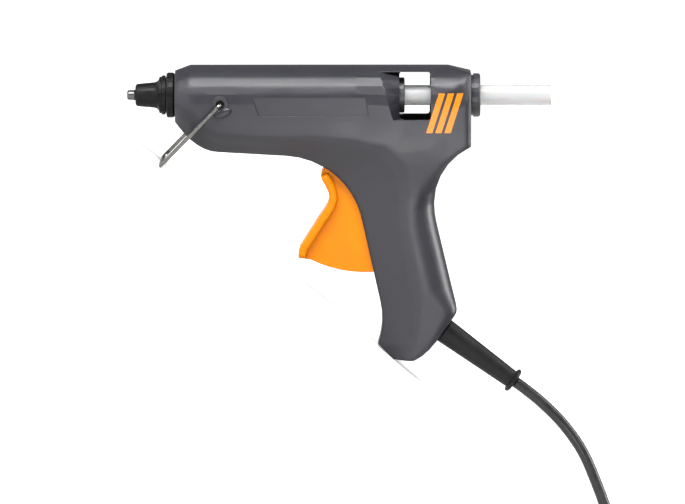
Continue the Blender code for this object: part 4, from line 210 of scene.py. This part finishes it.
# materials
class Finish:
    # a material with one shader, and short calls for the nodes that feed it
    def __init__(self, name, color, roughness, **sockets):
        self.material = bpy.data.materials.new(name)
        self.material.use_nodes = True
        self.tree = self.material.node_tree
        self.shader = self.tree.nodes["Principled BSDF"]
        self.color, self.roughness = color, roughness
        self.set("Base Color", (*color, 1))
        self.set("Roughness", roughness)
        for socket, value in sockets.items():
            self.set(socket.replace("_", " "), value)
        place = self.node("ShaderNodeTexCoord").outputs["Object"]
        turned = self.node("ShaderNodeMapping")  # the applicator's own axes
        back = gun.inverted()
        turned.inputs["Location"].default_value = back.to_translation()
        turned.inputs["Rotation"].default_value = back.to_euler()
        self.link(place, turned.inputs["Vector"])
        self.own = turned.outputs["Vector"]

    def set(self, socket, value):
        self.shader.inputs[socket].default_value = value

    def node(self, kind, **values):
        made = self.tree.nodes.new(kind)
        for key, value in values.items():
            setattr(made, key, value)
        return made

    def link(self, start, end):
        self.tree.links.new(start, end)

    def math(self, what, a, b=0.0):
        made = self.node("ShaderNodeMath", operation=what)
        for socket, value in zip(made.inputs, (a, b)):
            if isinstance(value, (int, float)):
                socket.default_value = value
            else:
                self.link(value, socket)
        return made.outputs[0]

    def noise(self, scale, detail=3.0, stretch=None):
        made = self.node("ShaderNodeTexNoise")
        made.inputs["Scale"].default_value = scale
        made.inputs["Detail"].default_value = detail
        place = self.own
        if stretch:
            mapping = self.node("ShaderNodeMapping")
            mapping.inputs["Scale"].default_value = stretch
            self.link(self.own, mapping.inputs["Vector"])
            place = mapping.outputs["Vector"]
        self.link(place, made.inputs["Vector"])
        return made.outputs["Fac"]

    def ramp(self, value, low, high, a=0.3, b=0.7):
        made = self.node("ShaderNodeMapRange")
        for key, amount in (("From Min", a), ("From Max", b), ("To Min", low), ("To Max", high)):
            made.inputs[key].default_value = amount
        self.link(value, made.inputs["Value"])
        return made.outputs["Result"]

    def blendColors(self, mask, a, b):
        made = self.node("ShaderNodeMix", data_type="RGBA")
        self.link(mask, made.inputs["Factor"])
        for socket, value in ((made.inputs[6], a), (made.inputs[7], b)):
            if isinstance(value, tuple):
                socket.default_value = (*value, 1)
            else:
                self.link(value, socket)
        return made.outputs[2]

    def vary(self, scale=90.0, amount=0.12, rough=0.06, detail=4.0, stretch=None):
        # colour and roughness drift a little over the surface
        patches = self.noise(scale, detail, stretch)
        darker = tuple(c * (1 - amount) for c in self.color)
        lighter = tuple(min(1.0, c * (1 + amount)) for c in self.color)
        color = self.blendColors(self.ramp(patches, 0.0, 1.0), darker, lighter)
        self.link(color, self.shader.inputs["Base Color"])
        self.link(self.ramp(patches, self.roughness - rough, self.roughness + rough), self.shader.inputs["Roughness"])
        return color

    def paintCornerShade(self, color, reach, low):
        # painted shade: inner corners and recesses are darkened in the colour, from ambient occlusion of the piece's
        # own shape
        shade = self.node("ShaderNodeAmbientOcclusion", samples=6, only_local=True)
        shade.inputs["Distance"].default_value = reach
        dark = self.node("ShaderNodeMix", data_type="RGBA", blend_type="MULTIPLY")
        dark.inputs["Factor"].default_value = 1.0
        self.link(color, dark.inputs[6])
        self.link(self.ramp(shade.outputs["AO"], low, 1.0, 0.35, 0.9), dark.inputs[7])
        return dark.outputs[2]

    def grain(self, scale, depth, strength=0.6, detail=2.0, stretch=None, soften=0.0):
        # fine moulding grain, over edges that are rounded by soften
        bump = self.node("ShaderNodeBump")
        if soften:
            edge = self.node("ShaderNodeBevel", samples=6)
            if isinstance(soften, float):
                edge.inputs["Radius"].default_value = soften
            else:
                self.link(soften, edge.inputs["Radius"])
            self.link(edge.outputs["Normal"], bump.inputs["Normal"])
        bump.inputs["Strength"].default_value = strength
        bump.inputs["Distance"].default_value = depth
        self.link(self.noise(scale, detail, stretch), bump.inputs["Height"])
        self.link(bump.outputs["Normal"], self.shader.inputs["Normal"])


# crisp: x and z ranges of the bare label recess, of the window and of the stand's hole
shellSettings = {
    "crisp": (
        ((0.040, 0.108), (-0.0115, 0.0012)),
        ((0.099, 0.142), (-0.016, 0.0165)),
        ((0.017, 0.034), (-0.013, 0.006)),
    ),
    "soften": (0.0040, 0.0007),
    # reach and darkest share of the painted shade in inner corners
    "cornerShadeReach": 0.0022,
    "cornerShadeFrom": 0.25,
}
accentSettings = {
    "middle": (0.1478, -0.0082),
    "halfHeight": 0.0108,
    "halfWidth": 0.0071,
    "pitch": 0.0050,
    "bar": 0.0034,
    "lean": 0.32,
    "nearSide": -0.004,
    "color": (0.74, 0.205, 0.0),
}


def housingFinish():
    f = Finish("housingPlastic", (0.020, 0.020, 0.026), 0.36, Specular_IOR_Level=0.50)
    s, a = shellSettings, accentSettings
    # the shells' colour drifts a little and carries painted shade in its inner corners and recesses
    color = f.paintCornerShade(f.vary(60.0, 0.06, 0.035), s["cornerShadeReach"], s["cornerShadeFrom"])
    parts = f.node("ShaderNodeSeparateXYZ")
    f.link(f.own, parts.inputs[0])
    x, y, z = parts.outputs

    def within(value, low, high):
        return f.math("MULTIPLY", f.math("GREATER_THAN", value, low), f.math("LESS_THAN", value, high))

    # edges are crisp in those ranges and soft elsewhere
    crisp = 0.0
    for across, up in s["crisp"]:
        crisp = f.math("MAXIMUM", crisp, f.math("MULTIPLY", within(x, *across), within(z, *up)))
    f.grain(2600.0, 0.00006, 0.35, soften=f.ramp(crisp, *s["soften"], 0.0, 1.0))
    down = f.math("SUBTRACT", z, a["middle"][1])
    across = f.math("SUBTRACT", f.math("SUBTRACT", x, a["middle"][0]), f.math("MULTIPLY", down, a["lean"]))
    inside = f.math("LESS_THAN", f.math("ABSOLUTE", down), a["halfHeight"])
    inside = f.math("MULTIPLY", inside, f.math("LESS_THAN", f.math("ABSOLUTE", across), a["halfWidth"]))
    inside = f.math("MULTIPLY", inside, f.math("LESS_THAN", y, a["nearSide"]))
    phase = f.math("FLOORED_MODULO", f.math("ADD", across, a["halfWidth"]), a["pitch"])
    bars = f.math("MULTIPLY", inside, f.math("LESS_THAN", phase, a["bar"]))
    f.link(f.blendColors(bars, color, a["color"]), f.shader.inputs["Base Color"])
    return f.material


def triggerFinish():
    f = Finish("triggerPlastic", (0.72, 0.205, 0.002), 0.38, Subsurface_Weight=0.06, Subsurface_Scale=0.002,
               Specular_IOR_Level=0.10)
    f.vary(70.0, 0.05, 0.04)
    f.grain(1900.0, 0.00005, 0.3, soften=0.001)
    return f.material


def plainFinish(
    name, color, roughness, scale=120.0, amount=0.15, rough=0.06, grain=(1500.0, 0.00005), stretch=None, **sockets
):
    f = Finish(name, color, roughness, **sockets)
    f.vary(scale, amount, rough, stretch=stretch)
    f.grain(*grain, stretch=stretch)
    return f.material


def metalFinish(name, color, roughness, scale, amount, rough, grain, stretch=None):
    return plainFinish(name, color, roughness, scale, amount, rough, grain, stretch, Metallic=1.0)


brushed = (1.0, 1.0, 12.0)
turned = (30.0, 1.0, 1.0)
alongStick = (0.2, 1.0, 1.0)
# pieces, then name, color, roughness, size and amount of the drift, drift of the roughness, grain
finishes = {
    "housing_left housing_right": housingFinish(),
    "trigger": triggerFinish(),
    "nozzle_boot": plainFinish(
        "bootSilicone", (0.004, 0.004, 0.0042), 0.46, 200.0, 0.3, 0.08, (1800.0, 0.00008), Specular_IOR_Level=0.20
    ),
    "nozzle": metalFinish("nozzleMetal", (0.15, 0.146, 0.142), 0.30, 400.0, 0.12, 0.08, (2400.0, 0.00002), turned),
    "wire_stand": metalFinish("standWire", (0.20, 0.195, 0.185), 0.30, 600.0, 0.12, 0.07, (3000.0, 0.00002)),
    "trigger_pin drive_pin jaw_pin grip_jaw return_spring clamp_screw_1 clamp_screw_2": metalFinish(
        "pinSteel", (0.52, 0.52, 0.53), 0.3, 500.0, 0.1, 0.06, (2500.0, 0.00002), brushed
    ),
    " ".join(f"housing_screw_{i}" for i in range(1, 7)): metalFinish(
        "screwSteel", (0.35, 0.35, 0.36), 0.35, 500.0, 0.15, 0.08, (2500.0, 0.00003)
    ),
    "glue_stick": plainFinish(
        "glue",
        (0.66, 0.665, 0.665),
        0.34,
        60.0,
        0.02,
        0.05,
        (300.0, 0.0001),
        alongStick,
        Transmission_Weight=0.55,
        IOR=1.35,
        Subsurface_Weight=0.4,
        Subsurface_Scale=0.006,
    ),
    "melt_tube": metalFinish("castAluminium", (0.66, 0.66, 0.67), 0.42, 300.0, 0.1, 0.1, (1600.0, 0.0001)),
    "carriage cord_clamp": plainFinish(
        "carriagePlastic", (0.06, 0.06, 0.066), 0.42, 150.0, 0.12, 0.05, (1800.0, 0.00006)
    ),
    "rear_collar": plainFinish("collarPlastic", (0.030, 0.030, 0.034), 0.40, 150.0, 0.12, 0.05, (1800.0, 0.00006)),
    "inlet_sleeve": plainFinish("sleeveSilicone", (0.5, 0.10, 0.05), 0.6, 200.0, 0.1, 0.08, (1200.0, 0.0001)),
    "heater_element": plainFinish("heaterCeramic", (0.72, 0.69, 0.63), 0.6, 300.0, 0.08, 0.08, (2000.0, 0.0001)),
    "strain_relief": plainFinish(
        "reliefRubber", (0.006, 0.006, 0.0065), 0.42, 150.0, 0.25, 0.06, (1600.0, 0.00008), Specular_IOR_Level=0.25
    ),
    "powerCord cord_tail": plainFinish(
        "cordSheath", (0.009, 0.009, 0.0095), 0.36, 150.0, 0.2, 0.06, (1400.0, 0.00006)
    ),
    "heater_lead_left heater_lead_right": plainFinish(
        "leadSleeve", (0.76, 0.74, 0.68), 0.7, 900.0, 0.15, 0.1, (3500.0, 0.0002)
    ),
    "terminal_block": plainFinish(
        "terminalPlastic", (0.66, 0.66, 0.64), 0.45, 200.0, 0.06, 0.05, (1500.0, 0.00006)
    ),
    "cord_tie": plainFinish("tieCoating", (0.015, 0.015, 0.016), 0.3, 300.0, 0.2, 0.06, (1500.0, 0.00006)),
    "plug": plainFinish("plugRubber", (0.013, 0.013, 0.014), 0.42, 150.0, 0.2, 0.06, (1600.0, 0.00008)),
    "plug_pin_1 plug_pin_2": metalFinish(
        "plugMetal", (0.66, 0.64, 0.60), 0.2, 600.0, 0.08, 0.06, (3000.0, 0.00002), brushed
    ),
}
for names, material in finishes.items():
    for name in names.split():
        piece = bpy.data.objects.get(name) or nodes[name]
        if not piece.data.materials:
            piece.data.materials.append(material)
        for i in range(len(piece.data.materials)):
            piece.data.materials[i] = material
print("finishes given")

# floor, world and lamps
stageSettings = {
    "floorHalfSize": 12.0,
    "floorColor": 0.80,
    "glowNear": 0.40,
    "glowFar": 1.0,
    "nearTo": (0.22, 0.75),
    "floorMirrored": 0.0,
    "worldLight": 0.16,
    "worldMirrored": 0.12,
}


def backgroundRays(tree, mirrored):
    # 1 for what the camera sees, also through the glue, and a smaller share for what a glossy surface mirrors
    rays = tree.nodes.new("ShaderNodeLightPath")
    seen = tree.nodes.new("ShaderNodeMath")
    seen.operation = "MAXIMUM"
    for socket, name in zip(seen.inputs, ("Is Camera Ray", "Is Transmission Ray")):
        tree.links.new(rays.outputs[name], socket)
    share = tree.nodes.new("ShaderNodeMath")
    share.operation = "MULTIPLY_ADD"
    tree.links.new(rays.outputs["Is Glossy Ray"], share.inputs[0])
    share.inputs[1].default_value = mirrored
    tree.links.new(seen.outputs[0], share.inputs[2])
    return share.outputs[0]


def makeFloor(s):
    mesh = bpy.data.meshes.new("floor")
    size = s["floorHalfSize"]
    mesh.from_pydata([(-size, -size, 0), (size, -size, 0), (size, size, 0), (-size, size, 0)], [], [(0, 1, 2, 3)])
    floor = bpy.data.objects.new("floor", mesh)
    bpy.context.scene.collection.objects.link(floor)
    material = bpy.data.materials.new("floor")
    material.use_nodes = True
    tree = material.node_tree
    diffuse = tree.nodes.new("ShaderNodeBsdfDiffuse")
    diffuse.inputs["Color"].default_value = (s["floorColor"],) * 3 + (1,)
    glow = tree.nodes.new("ShaderNodeEmission")
    scale = tree.nodes.new("ShaderNodeMath")
    scale.operation = "MULTIPLY"
    place = tree.nodes.new("ShaderNodeTexCoord")
    away = tree.nodes.new("ShaderNodeVectorMath")
    away.operation = "LENGTH"
    tree.links.new(place.outputs["Object"], away.inputs[0])
    # the lamps reach less far than the floor, and the glow makes up for it
    glowAt = tree.nodes.new("ShaderNodeMapRange")
    glowAt.interpolation_type = "SMOOTHSTEP"
    limits = (*s["nearTo"], s["glowNear"], s["glowFar"])
    for key, value in zip(("From Min", "From Max", "To Min", "To Max"), limits):
        glowAt.inputs[key].default_value = value
    tree.links.new(away.outputs["Value"], glowAt.inputs["Value"])
    tree.links.new(glowAt.outputs["Result"], scale.inputs[1])
    tree.links.new(backgroundRays(tree, s["floorMirrored"]), scale.inputs[0])
    tree.links.new(scale.outputs[0], glow.inputs["Strength"])
    both = tree.nodes.new("ShaderNodeAddShader")
    tree.links.new(diffuse.outputs[0], both.inputs[0])
    tree.links.new(glow.outputs[0], both.inputs[1])
    tree.links.new(both.outputs[0], tree.nodes["Material Output"].inputs["Surface"])
    mesh.materials.append(material)


def makeWorld(s):
    world = bpy.data.worlds.new("studio")
    bpy.context.scene.world = world
    world.use_nodes = True
    tree = world.node_tree
    strength = tree.nodes.new("ShaderNodeMapRange")
    strength.inputs["To Min"].default_value = s["worldLight"]
    strength.inputs["To Max"].default_value = 1.0
    tree.links.new(backgroundRays(tree, s["worldMirrored"]), strength.inputs["Value"])
    background = tree.nodes["Background"]
    background.inputs["Color"].default_value = (1, 1, 1, 1)
    tree.links.new(strength.outputs["Result"], background.inputs["Strength"])


# place and aim in the applicator's own axes, size in metres, power in watts
lampSettings = {
    "key": ((0.06, -0.34, 0.80), (0.08, 0, 0.0), (1.3, 0.2), 3.4),
    "band": ((0.06, -0.42, 0.68), (0.08, 0, 0.01), (1.1, 0.10), 12.0),
    "glow": ((0.135, -0.4, -0.09), (0.13, 0, -0.05), (0.10, 0.10), 0.34),
    "fill": ((-0.5, -1.1, 0.1), (0.09, 0, -0.06), (0.6, 0.6), 0.45),
    "side": ((0.75, -0.75, 0.05), (0.13, 0, -0.04), (0.3, 0.5), 0.5),
    "rim": ((0.85, 0.12, 0.05), (0.15, 0, -0.06), (0.25, 0.7), 6.5),
}


def makeLamp(name, place, aim, size, power):
    data = bpy.data.lights.new(name, "AREA")
    data.shape = "RECTANGLE"
    data.size, data.size_y = size
    data.energy = power
    lamp = bpy.data.objects.new(name, data)
    lamp.visible_camera = False
    bpy.context.scene.collection.objects.link(lamp)
    look = Vector(aim) - Vector(place)
    lamp.matrix_world = gun @ Matrix.Translation(place) @ look.to_track_quat("-Z", "Y").to_matrix().to_4x4()


makeFloor(stageSettings)
makeWorld(stageSettings)
for name, values in lampSettings.items():
    makeLamp(name, *values)
bpy.context.scene.view_settings.view_transform = "Standard"
print("lamps set")

bpy.context.view_layer.update()
